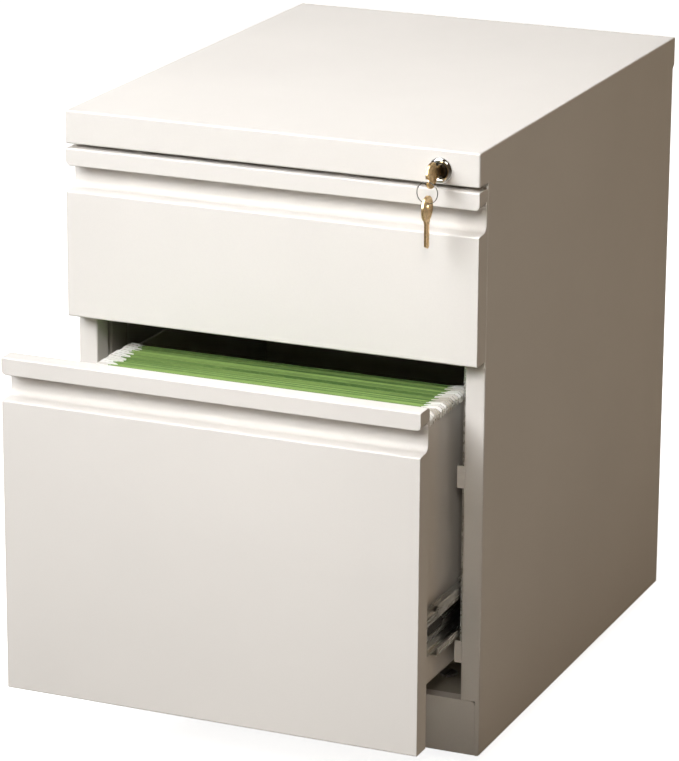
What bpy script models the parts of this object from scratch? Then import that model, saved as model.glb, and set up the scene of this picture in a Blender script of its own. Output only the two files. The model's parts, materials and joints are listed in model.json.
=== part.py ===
"""Two-drawer steel filing pedestal on recessed casters, with a gang lock and a row of hanging folders.

Frame: metres, +Z up from the floor, +X to the viewer's right, +Y from the front to the back.
The case is described from its front plane (the apron's face, y = 0) and its middle (x = 0). One empty
carries that description to the world frame, whose origin is the middle of the floor that the pedestal
covers with its file drawer pulled out by FILE_OPEN.
"""

import math

import bmesh
import bpy
from mathutils import Matrix, Vector

MM = 0.001

# Clearances
GAP = 0.3 * MM
FRONT_CLEARANCE = 0.5 * MM
BOX_GAP = 4.0 * MM
MIDDLE_GAP = 3.5 * MM
BASE_GAP = 5.0 * MM

# Case
WIDTH = 381 * MM
DEPTH = 505 * MM
HEIGHT = 552 * MM
CASE_SHEET = 1.0 * MM
BEND = 2.0 * MM
CASTER_DROP = 12 * MM
APRON_HEIGHT = 29.5 * MM
BASE_HEIGHT = 50 * MM
BASE_FLANGE = 12 * MM
REAR_BAND_HEIGHT = 26 * MM
REAR_BAND_PROUD = 4 * MM
SIDE_RETURN = 4 * MM
STILE_WIDTH = 18 * MM
STILE_DEPTH = 20 * MM
UPRIGHT_LENGTH = 32 * MM
REAR_UPRIGHT_INSET = 34 * MM

# Drawer fronts and their full-width pulls
FRONT_DEPTH = 20 * MM
BOX_FRONT_HEIGHT = 150 * MM
DRAWER_SHEET = 0.9 * MM
LIP_HEIGHT = 15.5 * MM
PULL_HEIGHT = 38 * MM
PULL_DEPTH = 17 * MM
LEDGE_FALL = 1.5 * MM
COVE = 6 * MM
LIP_BACK_BEND = 4 * MM
FRONT_BEND = 1.5 * MM

# Drawer tubs
BOX_TUB_LIFT = 16 * MM
FILE_TUB_LIFT = 25 * MM
TUB_BACK_INSET = 30 * MM
HEM_WIDTH = 2.2 * MM
HEM_HEIGHT = 9 * MM

# Slides, measured across from the upright towards the drawer
SLIDE_THICKNESS = 12.7 * MM
SLIDE_SHEET = 1.2 * MM
SLIDE_BACK_INSET = 14 * MM
FILE_SLIDE_HEIGHT = 53 * MM
FILE_MIDDLE_HEIGHT = 46.2 * MM
FILE_INNER_HEIGHT = 38 * MM
BOX_SLIDE_HEIGHT = 35 * MM
BOX_INNER_HEIGHT = 26 * MM
FILE_SLIDE_LIFT = 49 * MM
BOX_SLIDE_LIFT = 29 * MM
FILE_OPEN = 124 * MM
CAGE_SHEET = 0.5 * MM
CAGE_END = 4 * MM
BALLS_IN_ROW = 5
BALL_LENGTH = 2.4 * MM
ROLLER_RADIUS = 8.5 * MM
ROLLER_INSET = 14 * MM

# Lock, keys and lock bar
LOCK_FROM_SIDE = 35 * MM
LOCK_FROM_TOP = 17.5 * MM
BEZEL_RADIUS = 11.2 * MM
BEZEL_PROUD = 3.2 * MM
BARREL_RADIUS = 8.2 * MM
PLUG_RADIUS = 6 * MM
NUT_RADIUS = 11.5 * MM
NUT_THICKNESS = 4 * MM
CAM_LENGTH = 14 * MM
CAM_HALF_WIDTH = 3.5 * MM
CAM_THICKNESS = 1.5 * MM
CAM_REST_ANGLE = math.radians(-45)
KEY_THICKNESS = 2.0 * MM
BLADE_HEIGHT = 7.6 * MM
BLADE_LENGTH = 20 * MM
BOW_RADIUS = 11 * MM
BOW_REACH = 19.5 * MM
KEY_HOLE_RADIUS = 2.4 * MM
KEY_HOLE_REACH = 6 * MM
KEY_HOLE_DROP = 2 * MM
RING_RADIUS = 9.2 * MM
RING_WIRE = 0.7 * MM
SPARE_BLADE_LENGTH = 25 * MM
SPARE_HOLE_TO_TOP = 8.2 * MM
BAR_THICKNESS = 1.4 * MM
BAR_WIDTH = 12 * MM
BAR_BOTTOM_LIFT = 38 * MM
BAR_FOOT_WIDTH = 4.5 * MM
BAR_FOOT_RISE = 4.4 * MM
TAB_HEIGHT = 12 * MM
TAB_REACH = 4.5 * MM
KEEPER_HEIGHT = 20 * MM
KEEPER_REACH = 6.2 * MM
KEEPER_SHEET = 0.8 * MM
KEEPER_DROP = 2 * MM
CATCH_HEIGHT = 16 * MM
CATCH_REACH = 9.5 * MM
CATCH_BASE = 15 * MM
CATCH_GAP = 1.5 * MM
TAB_GAP = 2 * MM
BOX_CATCH_SHARE = 0.32
FILE_CATCH_SHARE = 0.217

# Casters
WHEEL_RADIUS = 20 * MM
WHEEL_WIDTH = 16 * MM
WHEEL_ROUND = 4 * MM
AXLE_RADIUS = 3 * MM
CASTER_OFFSET = 18 * MM
FORK_SHEET = 2 * MM
FORK_HALF_LENGTH = 11 * MM
FORK_TOP = 46 * MM
STEM_RADIUS = 5 * MM
STEM_HEAD_RADIUS = 8 * MM
STEM_HEAD = 2 * MM
CASTER_SIDE_INSET = 50 * MM
CASTER_FRONT_INSET = 54 * MM
CASTER_BACK_INSET = 50 * MM

# Hanging folders
FOLDER_START = 30 * MM
FOLDER_ROW = 160 * MM
FOLDER_SIDE_GAP = 8 * MM
FOLDER_FOOT_GAP = 6 * MM
FOLDER_RAIL_HEIGHT = 4 * MM
FOLDER_RAIL_OVERHANG = 1.6 * MM

# Levels, from the floor up
CASE_BOTTOM = CASTER_DROP
BASE_TOP = CASE_BOTTOM + BASE_HEIGHT
PAN_TOP = BASE_TOP - CASE_SHEET - GAP
APRON_BOTTOM = HEIGHT - APRON_HEIGHT
BOX_TOP = APRON_BOTTOM - BOX_GAP
BOX_BOTTOM = BOX_TOP - BOX_FRONT_HEIGHT
FILE_TOP = BOX_BOTTOM - MIDDLE_GAP
FILE_BOTTOM = BASE_TOP + BASE_GAP
BOX_TUB_BOTTOM = BOX_BOTTOM + BOX_TUB_LIFT
BOX_TUB_TOP = BOX_TOP - PULL_HEIGHT - 2 * MM
FILE_TUB_BOTTOM = FILE_BOTTOM + FILE_TUB_LIFT
FILE_TUB_TOP = FILE_TOP - PULL_HEIGHT
BOX_CATCH_DROP = (BOX_TUB_TOP - BOX_TUB_BOTTOM) * BOX_CATCH_SHARE
FILE_CATCH_DROP = (FILE_TUB_TOP - FILE_TUB_BOTTOM) * FILE_CATCH_SHARE
BOX_SLIDE_Z = BOX_TUB_BOTTOM + BOX_SLIDE_LIFT
FILE_SLIDE_Z = FILE_TUB_BOTTOM + FILE_SLIDE_LIFT

# Distances back from the front plane
CASE_Y = -(DEPTH - FILE_OPEN) / 2
STILE_Y = FRONT_DEPTH + FRONT_CLEARANCE
BAR_FRONT = STILE_Y + CASE_SHEET + 0.5 * MM
BARREL_LENGTH = FRONT_DEPTH + 2 * MM
DRAWER_MEMBER_FRONT = FRONT_DEPTH + 4 * MM
SLIDE_FRONT = FRONT_DEPTH + 16 * MM
FRONT_UPRIGHT_START = SLIDE_FRONT + 12 * MM
BACK_Y = DEPTH - REAR_BAND_PROUD
SLIDE_BACK = BACK_Y - CASE_SHEET - SLIDE_BACK_INSET
SLIDE_LENGTH = SLIDE_BACK - SLIDE_FRONT
TUB_BACK = BACK_Y - CASE_SHEET - TUB_BACK_INSET
FILE_TRAVEL = SLIDE_LENGTH

# Distances out from the middle
HALF_WIDTH = WIDTH / 2
OPENING_X = HALF_WIDTH - STILE_WIDTH
SLIDE_X = OPENING_X - GAP
TUB_X = SLIDE_X - SLIDE_THICKNESS - GAP
BAR_X = OPENING_X - GAP - BAR_THICKNESS
LOCK_X = HALF_WIDTH - LOCK_FROM_SIDE
LOCK_Z = HEIGHT - LOCK_FROM_TOP

SIDES = {"left": -1, "right": 1}
WHEEL_Z = WHEEL_RADIUS
ROUND_STEPS = 24


def clear_scene():
    for old in list(bpy.data.objects):
        bpy.data.objects.remove(old, do_unlink=True)


def material(name, color, roughness, metallic=0.0):
    made = bpy.data.materials.new(name)
    made.use_nodes = True
    shader = made.node_tree.nodes["Principled BSDF"]
    shader.inputs["Base Color"].default_value = (*color, 1.0)
    shader.inputs["Roughness"].default_value = roughness
    shader.inputs["Metallic"].default_value = metallic
    made.diffuse_color = (*color, 1.0)
    return made


def place(name, mesh, parent, finish):
    """Puts a mesh in the scene under its parent empty, whose place is its joint's axis."""
    obj = bpy.data.objects.new(name, mesh)
    bpy.context.scene.collection.objects.link(obj)
    obj.parent = parent
    mesh.materials.append(finish)
    return obj


def empty(name, parent=None, at=(0, 0, 0)):
    obj = bpy.data.objects.new(name, None)
    bpy.context.scene.collection.objects.link(obj)
    obj.parent = parent
    obj.location = at
    return obj


def mesh_from(name, build):
    """A mesh with its faces turned outwards, from a function that fills a bmesh."""
    shape = bmesh.new()
    build(shape)
    bmesh.ops.recalc_face_normals(shape, faces=shape.faces)
    mesh = bpy.data.meshes.new(name)
    shape.to_mesh(mesh)
    shape.free()
    return mesh


def smooth(obj):
    obj.data.shade_smooth()
    obj.data.set_sharp_from_angle(angle=math.radians(35))
    return obj


# Outlines in a plane: points are (across, up, radius)


def fillet(before, corner, after, radius, steps=4):
    """The arc that rounds one corner, as a list of points."""
    if radius <= 0:
        return [corner]
    towards_before = (before - corner).normalized()
    towards_after = (after - corner).normalized()
    half = towards_before.angle(towards_after) / 2
    centre = corner + (towards_before + towards_after).normalized() * radius / math.sin(half)
    first = corner + towards_before * radius / math.tan(half) - centre
    last = corner + towards_after * radius / math.tan(half) - centre
    turn = first.angle_signed(last)
    points = []
    for step in range(steps + 1):
        arm = first.copy()
        arm.rotate(Matrix.Rotation(-turn * step / steps, 2))
        points.append(centre + arm)
    return points


def rounded(points, closed=True):
    """An outline with its corners replaced by arcs of their own radius."""
    corners = [Vector(point[:2]) for point in points]
    radii = [point[2] if len(point) > 2 else 0 for point in points]
    outline = []
    for index, corner in enumerate(corners):
        at_end = not closed and index in (0, len(corners) - 1)
        after = corners[(index + 1) % len(corners)]
        outline += [corner] if at_end else fillet(corners[index - 1], corner, after, radii[index])
    return outline


def left_of(start, end):
    along = (end - start).normalized()
    return Vector((-along.y, along.x))


def offset(path, distance):
    """An open path moved to its own left, with the radii of its bends kept concentric."""
    corners = [Vector(point[:2]) for point in path]
    moved = []
    for index, corner in enumerate(corners):
        radius = path[index][2] if len(path[index]) > 2 else 0
        before = left_of(corners[index - 1], corner) if index else None
        after = left_of(corner, corners[index + 1]) if index + 1 < len(corners) else None
        if before is None or after is None:
            normal = after or before
            moved.append((*(corner + normal * distance), 0))
            continue
        mitre = (before + after).normalized()
        reach = distance / mitre.dot(before)
        turns_left = before.x * after.y - before.y * after.x > 0
        new_radius = max(radius - distance, 0) if turns_left else radius + distance
        moved.append((*(corner + mitre * reach), new_radius if radius else 0))
    return moved


def sheet(path, thickness):
    """The closed outline of a bent sheet: the path is one face, and the metal lies to its left."""
    return rounded(path, closed=False) + rounded(offset(path, thickness), closed=False)[::-1]


def rectangle(low_across, high_across, low_up, high_up):
    return [
        (low_across, low_up),
        (high_across, low_up),
        (high_across, high_up),
        (low_across, high_up),
    ]


def to_space(axis, point, along):
    """A point of an outline in space: outlines lie in YZ for x, XZ for y and XY for z."""
    across, up = point[0], point[1]
    return {"x": (along, across, up), "y": (across, along, up), "z": (across, up, along)}[axis]


def prism(name, parent, finish, axis, outline, start, end):
    """An outline drawn out along an axis."""

    def build(shape):
        near = [shape.verts.new(to_space(axis, point, start)) for point in outline]
        far = [shape.verts.new(to_space(axis, point, end)) for point in outline]
        shape.faces.new(near)
        shape.faces.new(far)
        for index in range(len(outline)):
            after = (index + 1) % len(outline)
            shape.faces.new((near[index], near[after], far[after], far[index]))

    return place(name, mesh_from(name, build), parent, finish)


def plate(name, parent, finish, x_span, y_span, z_span):
    return prism(name, parent, finish, "z", rectangle(*x_span, *y_span), *z_span)


def turned(name, parent, finish, axis, profile, centre=(0, 0, 0), steps=ROUND_STEPS):
    """A closed profile of (radius, along) points turned about an axis through the centre.

    Points with radius 0 close the piece on its axis; without them it is a ring."""
    turn_axis = Vector((axis == "x", axis == "y", axis == "z"))
    side = Vector((0, 0, 1)) if axis != "z" else Vector((1, 0, 0))

    def build(shape):
        rows = []
        for radius, along in profile:
            middle = Vector(centre) + turn_axis * along
            if radius == 0:
                rows.append([shape.verts.new(middle)])
                continue
            arms = [Matrix.Rotation(2 * math.pi * k / steps, 3, turn_axis) @ side for k in range(steps)]
            rows.append([shape.verts.new(middle + arm * radius) for arm in arms])
        for index, row in enumerate(rows):
            after_row = rows[(index + 1) % len(rows)]
            if len(row) == 1 and len(after_row) == 1:
                continue
            for k in range(steps):
                after = (k + 1) % steps
                corners = [row[k % len(row)], row[after % len(row)]]
                corners += [after_row[after % len(after_row)], after_row[k % len(after_row)]]
                shape.faces.new(list(dict.fromkeys(corners)))

    return smooth(place(name, mesh_from(name, build), parent, finish))


def boolean(target, other, operation):
    """Cuts or joins with another object, which is then hidden as a helper."""
    change = target.modifiers.new(other.name, "BOOLEAN")
    change.operation = operation
    change.object = other
    change.solver = "EXACT"
    other.hide_render = True
    other.display_type = "WIRE"
    return target


def cut(target, other):
    return boolean(target, other, "DIFFERENCE")


def join(target, other):
    return boolean(target, other, "UNION")


# Case


def top_panel(cabinet, paint, lock_hole):
    """Top sheet with the front apron and its underside, and the raised band along the back."""
    band_bottom = HEIGHT - REAR_BAND_HEIGHT
    path = [
        (STILE_Y - FRONT_CLEARANCE, APRON_BOTTOM),
        (0, APRON_BOTTOM, FRONT_BEND),
        (0, HEIGHT, BEND),
        (DEPTH, HEIGHT, BEND),
        (DEPTH, band_bottom, FRONT_BEND),
        (BACK_Y, band_bottom - REAR_BAND_PROUD),
    ]
    path = path[::-1]
    panel = prism("top_panel", cabinet, paint, "x", sheet(path, CASE_SHEET), -HALF_WIDTH, HALF_WIDTH)
    return cut(panel, lock_hole)


def side_outline():
    """The side's edge follows the apron, the recess of the drawer fronts and the rear band."""
    under = CASE_SHEET + GAP
    slant = under * (math.sqrt(2) - 1)
    band_bottom = HEIGHT - REAR_BAND_HEIGHT
    step = band_bottom - REAR_BAND_PROUD
    return [
        (STILE_Y, CASE_BOTTOM),
        (BACK_Y, CASE_BOTTOM),
        (BACK_Y, step - GAP),
        (BACK_Y - under, step - GAP),
        (BACK_Y - under, step + slant),
        (DEPTH - under, band_bottom + slant),
        (DEPTH - under, HEIGHT - under - BEND),
        (DEPTH - under - BEND, HEIGHT - under),
        (under + BEND, HEIGHT - under),
        (under, HEIGHT - under - BEND),
        (under, APRON_BOTTOM + under),
        (STILE_Y, APRON_BOTTOM + under),
    ]


def side_panel(name, cabinet, paint, side):
    """Side sheet with a narrow return at its front edge, which the stile and base rail butt against."""
    outer = side * HALF_WIDTH
    inner = side * (HALF_WIDTH - CASE_SHEET)
    panel = prism(name, cabinet, paint, "x", side_outline(), outer, inner)
    edge = side * (HALF_WIDTH - SIDE_RETURN)
    in_sheet = side * (HALF_WIDTH - CASE_SHEET / 2)
    lip = plate(
        name + "_return",
        cabinet,
        paint,
        (edge, in_sheet),
        (STILE_Y, STILE_Y + CASE_SHEET),
        (CASE_BOTTOM, APRON_BOTTOM),
    )
    return join(panel, lip)


def stile(name, cabinet, paint, side):
    """Front post: a face beside the drawer opening and a return that the lock bar runs against."""
    edge = side * (HALF_WIDTH - SIDE_RETURN - GAP)
    inner = side * OPENING_X
    path = [(edge, STILE_Y), (inner, STILE_Y, FRONT_BEND), (inner, STILE_Y + STILE_DEPTH)]
    if side > 0:
        outline = sheet(path, -CASE_SHEET)
    else:
        outline = sheet(path, CASE_SHEET)
    top = APRON_BOTTOM + CASE_SHEET
    post = prism(name, cabinet, paint, "z", outline, BASE_TOP + GAP, top)
    for index, keeper_top in enumerate(keeper_tops() if side > 0 else ()):
        join(post, keeper(f"{name}_keeper_{index}", cabinet, paint, keeper_top))
    return post


def keeper_tops():
    """One keeper stands in front of the bar's file tab, the other under the file slide."""
    file_tab_top = FILE_TUB_TOP - FILE_CATCH_DROP - TAB_GAP
    return (file_tab_top, FILE_SLIDE_Z - FILE_MIDDLE_HEIGHT / 2 - KEEPER_DROP)


def keeper(name, cabinet, paint, top):
    """Tab of the right stile that reaches into the opening and keeps the lock bar behind it."""
    span_x = (OPENING_X - KEEPER_REACH, OPENING_X + 2 * FRONT_BEND)
    front = STILE_Y + (CASE_SHEET - KEEPER_SHEET) / 2
    span_z = (top - KEEPER_HEIGHT, top)
    return plate(name, cabinet, paint, span_x, (front, front + KEEPER_SHEET), span_z)


def upright(name, cabinet, finish, side, start):
    """Channel between a side panel and the slides, open towards the side panel."""
    wall = side * (HALF_WIDTH - CASE_SHEET - GAP)
    face = side * OPENING_X
    end = start + UPRIGHT_LENGTH
    path = [(wall, start), (face, start, FRONT_BEND), (face, end, FRONT_BEND), (wall, end)]
    outline = sheet(path, -CASE_SHEET * side)
    top = HEIGHT - CASE_SHEET - GAP
    return prism(name, cabinet, finish, "z", outline, PAN_TOP + GAP, top)


def base_rail(cabinet, paint):
    """Front kick rail: a face with rounded top corners, turned back at its top and bottom edges."""
    path = [
        (STILE_Y + BASE_FLANGE, BASE_TOP),
        (STILE_Y, BASE_TOP, FRONT_BEND),
        (STILE_Y, CASE_BOTTOM, FRONT_BEND),
        (STILE_Y + BASE_FLANGE, CASE_BOTTOM),
    ]
    end = HALF_WIDTH - SIDE_RETURN - GAP
    return prism("base_rail", cabinet, paint, "x", sheet(path, CASE_SHEET), -end, end)


def caster_places():
    """Name, x and y of each caster's stem."""
    across = HALF_WIDTH - CASTER_SIDE_INSET
    front = STILE_Y + CASTER_FRONT_INSET
    back = BACK_Y - CASTER_BACK_INSET
    return [
        (row + "_" + side, sign * across, along)
        for row, along in (("front", front), ("rear", back))
        for side, sign in SIDES.items()
    ]


def bottom_pan(cabinet, finish):
    """Raised floor of the case, with a hole for each caster stem."""
    edge = HALF_WIDTH - CASE_SHEET - GAP
    span_y = (STILE_Y + CASE_SHEET + GAP, BACK_Y - CASE_SHEET - GAP)
    pan = plate("bottom_pan", cabinet, finish, (-edge, edge), span_y, (PAN_TOP - CASE_SHEET, PAN_TOP))
    for name, across, along in caster_places():
        hole = turned(
            "stem_hole_" + name,
            cabinet,
            finish,
            "z",
            [(0, PAN_TOP + MM), (STEM_RADIUS + GAP, PAN_TOP + MM)]
            + [(STEM_RADIUS + GAP, PAN_TOP - 2 * MM), (0, PAN_TOP - 2 * MM)],
            (across, along, 0),
            16,
        )
        cut(pan, hole)
    return pan


def back_panel(cabinet, paint):
    edge = HALF_WIDTH - CASE_SHEET - GAP
    top = HEIGHT - REAR_BAND_HEIGHT - REAR_BAND_PROUD - GAP
    span_y = (BACK_Y - CASE_SHEET, BACK_Y)
    return plate("back_panel", cabinet, paint, (-edge, edge), span_y, (CASE_BOTTOM, top))


# Slides


def slide_member(name, parent, finish, side, z, flanges, web, height, y_span):
    """A channel along Y. The web stands at `web` and the flanges reach to `flanges`, both measured from
    the upright towards the drawer."""
    half = height / 2
    path = [(flanges, z + half), (web, z + half, MM), (web, z - half, MM), (flanges, z - half)]
    inward = 1 if flanges > web else -1
    outline = [
        (side * (SLIDE_X - point.x), point.y) for point in sheet(path, SLIDE_SHEET * inward)
    ]
    return prism(name, parent, finish, "y", outline, *y_span)


def ball_cage(name, parent, finish, side, z, web, flanges, height, ball_height, y_span):
    """Thin channel with a row of balls, drawn as blocks, in each of its two flanges."""
    half = height / 2
    path = [(flanges, z + half), (web, z + half), (web, z - half), (flanges, z - half)]
    outline = [(side * (SLIDE_X - point.x), point.y) for point in sheet(path, CAGE_SHEET)]
    cage = prism(name, parent, finish, "y", outline, *y_span)
    pitch = (y_span[1] - y_span[0]) / BALLS_IN_ROW
    far = side * (SLIDE_X - flanges + MM)
    near = side * (SLIDE_X - web - 2 * MM)
    for row, row_z in enumerate((z + half - CAGE_SHEET / 2, z - half + CAGE_SHEET / 2)):
        for index in range(BALLS_IN_ROW):
            middle = y_span[0] + (index + 0.5) * pitch
            ball = plate(
                f"{name}_ball_{row}_{index}",
                parent,
                finish,
                (near, far),
                (middle - BALL_LENGTH / 2, middle + BALL_LENGTH / 2),
                (row_z - ball_height / 2, row_z + ball_height / 2),
            )
            join(cage, ball)
    return cage


def cage_span(member_end, travel, share):
    """Where a cage stands so that it stays between both members over the whole travel."""
    return (SLIDE_FRONT + travel * share + CAGE_END, member_end - travel * share - CAGE_END)


def file_slides(cabinet, drawer, steel):
    """Three-member slides. The middle members move half as far as the drawer."""
    middles = empty("file_slide_middles_axis", cabinet, (0, -FILE_OPEN / 2, 0))
    outer_cages = empty("file_outer_cages_axis", cabinet, (0, -FILE_OPEN / 4, 0))
    inner_cages = empty("file_inner_cages_axis", cabinet, (0, -FILE_OPEN * 3 / 4, 0))
    fixed_span = (SLIDE_FRONT, SLIDE_BACK)
    inner_span = (DRAWER_MEMBER_FRONT, TUB_BACK)
    middle_web = 2.6 * MM
    inner_flange = 5.2 * MM
    for name, side in SIDES.items():
        z = FILE_SLIDE_Z
        slide_member(
            "file_slide_outer_" + name, cabinet, steel, side, z,
            10.5 * MM, 0, FILE_SLIDE_HEIGHT, fixed_span,
        )
        slide_member(
            "file_slide_middle_" + name, middles, steel, side, z,
            11 * MM, middle_web, FILE_MIDDLE_HEIGHT, fixed_span,
        )
        slide_member(
            "file_slide_inner_" + name, drawer, steel, side, z,
            inner_flange, SLIDE_THICKNESS, FILE_INNER_HEIGHT, inner_span,
        )
        between = (FILE_SLIDE_HEIGHT - 2 * SLIDE_SHEET + FILE_MIDDLE_HEIGHT) / 2
        ball_cage(
            "file_outer_cage_" + name, outer_cages, steel, side, z,
            1.65 * MM, 9 * MM, between, 1.5 * MM, cage_span(SLIDE_BACK, FILE_TRAVEL, 1 / 4),
        )
        between = (FILE_MIDDLE_HEIGHT - 2 * SLIDE_SHEET + FILE_INNER_HEIGHT) / 2
        ball_cage(
            "file_inner_cage_" + name, inner_cages, steel, side, z,
            4.25 * MM, 10.5 * MM, between, 2.0 * MM, cage_span(TUB_BACK, FILE_TRAVEL, 1 / 4),
        )


def add_roller(member, side, span, centre_y, centre_z):
    """Joins a roller to a slide member. The span is measured from the upright towards the drawer."""
    ends = [side * (SLIDE_X - across) for across in span]
    profile = [(0, ends[0]), (ROLLER_RADIUS, ends[0]), (ROLLER_RADIUS, ends[1]), (0, ends[1])]
    steel = member.data.materials[0]
    centre = (0, centre_y, centre_z)
    roller = turned(member.name + "_roller", member.parent, steel, "x", profile, centre, 16)
    return join(member, roller)


def box_slides(cabinet, drawer, steel):
    """Two-member roller slides. The drawer member runs over a roller at the front of the case member,
    and has one at its own rear that runs inside the case member."""
    z = BOX_SLIDE_Z
    for name, side in SIDES.items():
        outer = slide_member(
            "box_slide_outer_" + name, cabinet, steel, side, z,
            10.5 * MM, 0, BOX_SLIDE_HEIGHT, (SLIDE_FRONT, SLIDE_BACK),
        )
        inner = slide_member(
            "box_slide_inner_" + name, drawer, steel, side, z,
            3.2 * MM, SLIDE_THICKNESS, BOX_INNER_HEIGHT, (DRAWER_MEMBER_FRONT, TUB_BACK),
        )
        above = z + BOX_INNER_HEIGHT / 2 - SLIDE_SHEET - GAP - ROLLER_RADIUS
        outer_span = (SLIDE_SHEET / 2, SLIDE_THICKNESS - SLIDE_SHEET - 2 * GAP)
        add_roller(outer, side, outer_span, SLIDE_FRONT + ROLLER_INSET, above)
        below = z - BOX_SLIDE_HEIGHT / 2 + SLIDE_SHEET + GAP + ROLLER_RADIUS
        inner_span = (SLIDE_SHEET + 2 * GAP, SLIDE_THICKNESS - SLIDE_SHEET / 2)
        add_roller(inner, side, inner_span, TUB_BACK - ROLLER_INSET, below)


# Drawers


def front_outline(bottom, top):
    """Section of a drawer front: panel, ledge, recessed pull with its cove, and lip."""
    ledge = top - PULL_HEIGHT
    lip_bottom = top - LIP_HEIGHT
    return [
        (0, bottom, FRONT_BEND),
        (FRONT_DEPTH, bottom),
        (FRONT_DEPTH, top, LIP_BACK_BEND),
        (0, top, FRONT_BEND),
        (0, lip_bottom, FRONT_BEND),
        (PULL_DEPTH, lip_bottom),
        (PULL_DEPTH, ledge + LEDGE_FALL, COVE),
        (0, ledge, FRONT_BEND),
    ]


def front_cavity(bottom, top):
    """What the hollow front leaves open inside and at its back."""
    skin = DRAWER_SHEET
    ledge = top - PULL_HEIGHT
    lip_bottom = top - LIP_HEIGHT
    behind = FRONT_DEPTH + MM
    window_top = top - LIP_BACK_BEND - MM
    return [
        (skin, bottom + skin),
        (behind, bottom + skin),
        (behind, window_top),
        (FRONT_DEPTH - skin, window_top),
        (FRONT_DEPTH - skin, top - skin, LIP_BACK_BEND - skin),
        (skin, top - skin, FRONT_BEND - skin),
        (skin, lip_bottom + skin),
        (PULL_DEPTH + skin, lip_bottom + skin),
        (PULL_DEPTH + skin, ledge + LEDGE_FALL - skin, COVE),
        (skin, ledge - skin, FRONT_BEND),
    ]


def drawer_front(name, drawer, paint, bottom, top):
    """Hollow formed front, closed at its ends and open at its back, where the liner goes."""
    outer = rounded(front_outline(bottom, top))
    inner = rounded(front_cavity(bottom, top))
    end = HALF_WIDTH - DRAWER_SHEET
    front = prism(name, drawer, paint, "x", outer, -HALF_WIDTH, HALF_WIDTH)
    hollow = prism(name + "_hollow", drawer, paint, "x", inner, -end, end)
    return cut(front, hollow)


def drawer_liner(name, drawer, paint, bottom, top):
    edge = HALF_WIDTH - DRAWER_SHEET - GAP
    back = FRONT_DEPTH - GAP
    span_z = (bottom + DRAWER_SHEET + GAP, top - LIP_BACK_BEND - MM - GAP)
    return plate(name, drawer, paint, (-edge, edge), (back - DRAWER_SHEET, back), span_z)


def tub_side(name, drawer, paint, side, bottom, top):
    """Side sheet with a folded hem along its top edge."""
    outer, inner = TUB_X, TUB_X - DRAWER_SHEET
    hem = TUB_X - HEM_WIDTH
    outline = [
        (outer, bottom),
        (outer, top),
        (hem, top),
        (hem, top - HEM_HEIGHT),
        (inner, top - HEM_HEIGHT),
        (inner, bottom),
    ]
    outline = [(side * across, up) for across, up in outline]
    return prism(name, drawer, paint, "y", outline, FRONT_DEPTH, TUB_BACK)


def tub(prefix, drawer, paint, bottom, top):
    """Two sides on a bottom sheet, and a back between the sides."""
    for name, side in SIDES.items():
        tub_side(prefix + "_side_" + name, drawer, paint, side, bottom, top)
    under = bottom - GAP
    span_y = (FRONT_DEPTH, TUB_BACK)
    plate(prefix + "_bottom", drawer, paint, (-TUB_X, TUB_X), span_y, (under - DRAWER_SHEET, under))
    edge = TUB_X - HEM_WIDTH - GAP
    back = (TUB_BACK - DRAWER_SHEET, TUB_BACK)
    plate(prefix + "_back", drawer, paint, (-edge, edge), back, (bottom, top - MM))


def lock_catch(name, drawer, steel, bottom):
    """Angle on a drawer's right side. Its ear stands just behind the lock bar's tab."""
    front = BAR_FRONT + BAR_THICKNESS + CATCH_GAP
    foot = TUB_X + GAP
    path = [
        (foot + CATCH_REACH, front),
        (foot, front),
        (foot, front + CATCH_BASE),
    ]
    return prism(name, drawer, steel, "z", sheet(path, -BAR_THICKNESS), bottom, bottom + CATCH_HEIGHT)


def drawer(prefix, parent_at, cabinet, paint, front, tub_levels, catch_drop, steel):
    """One drawer with every piece that slides with it. Returns its empty."""
    body = empty(prefix + "_drawer_axis", cabinet, parent_at)
    drawer_front(prefix + "_front", body, paint, *front)
    drawer_liner(prefix + "_front_liner", body, paint, *front)
    tub(prefix, body, paint, *tub_levels)
    lock_catch(prefix + "_lock_catch", body, steel, tub_levels[1] - catch_drop)
    return body


# Lock


def lock_hole_cutter(cabinet, finish):
    radius = BARREL_RADIUS + GAP
    profile = [(0, -5 * MM), (radius, -5 * MM), (radius, 5 * MM), (0, 5 * MM)]
    return turned("lock_hole", cabinet, finish, "y", profile, (LOCK_X, 0, LOCK_Z))


def lock_housing(cabinet, chrome):
    """Domed bezel and threaded barrel with a bore for the plug, turned about the lock's axis."""
    bore = PLUG_RADIUS + GAP
    rim = BEZEL_RADIUS
    profile = [
        (bore, -BEZEL_PROUD + 0.6 * MM),
        (bore + 1.2 * MM, -BEZEL_PROUD),
        (rim - 2.2 * MM, -BEZEL_PROUD + 0.3 * MM),
        (rim - 0.6 * MM, -BEZEL_PROUD / 2),
        (rim, -GAP),
        (BARREL_RADIUS, -GAP),
        (BARREL_RADIUS, BARREL_LENGTH),
        (bore, BARREL_LENGTH),
    ]
    return turned("lock_housing", cabinet, chrome, "y", profile, (LOCK_X, 0, LOCK_Z))


def lock_nut(cabinet, steel):
    """Hexagonal nut behind the apron, two flats level with the apron's underside."""
    start = CASE_SHEET + GAP
    end = start + NUT_THICKNESS
    corners = [math.radians(60 * k) for k in range(6)]
    outline = [(LOCK_X + NUT_RADIUS * math.cos(a), LOCK_Z + NUT_RADIUS * math.sin(a)) for a in corners]
    nut = prism("lock_nut", cabinet, steel, "y", outline, start, end)
    bore = BARREL_RADIUS + GAP
    profile = [(0, 0), (bore, 0), (bore, end + MM), (0, end + MM)]
    return cut(nut, turned("lock_nut_bore", cabinet, steel, "y", profile, (LOCK_X, 0, LOCK_Z)))


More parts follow.
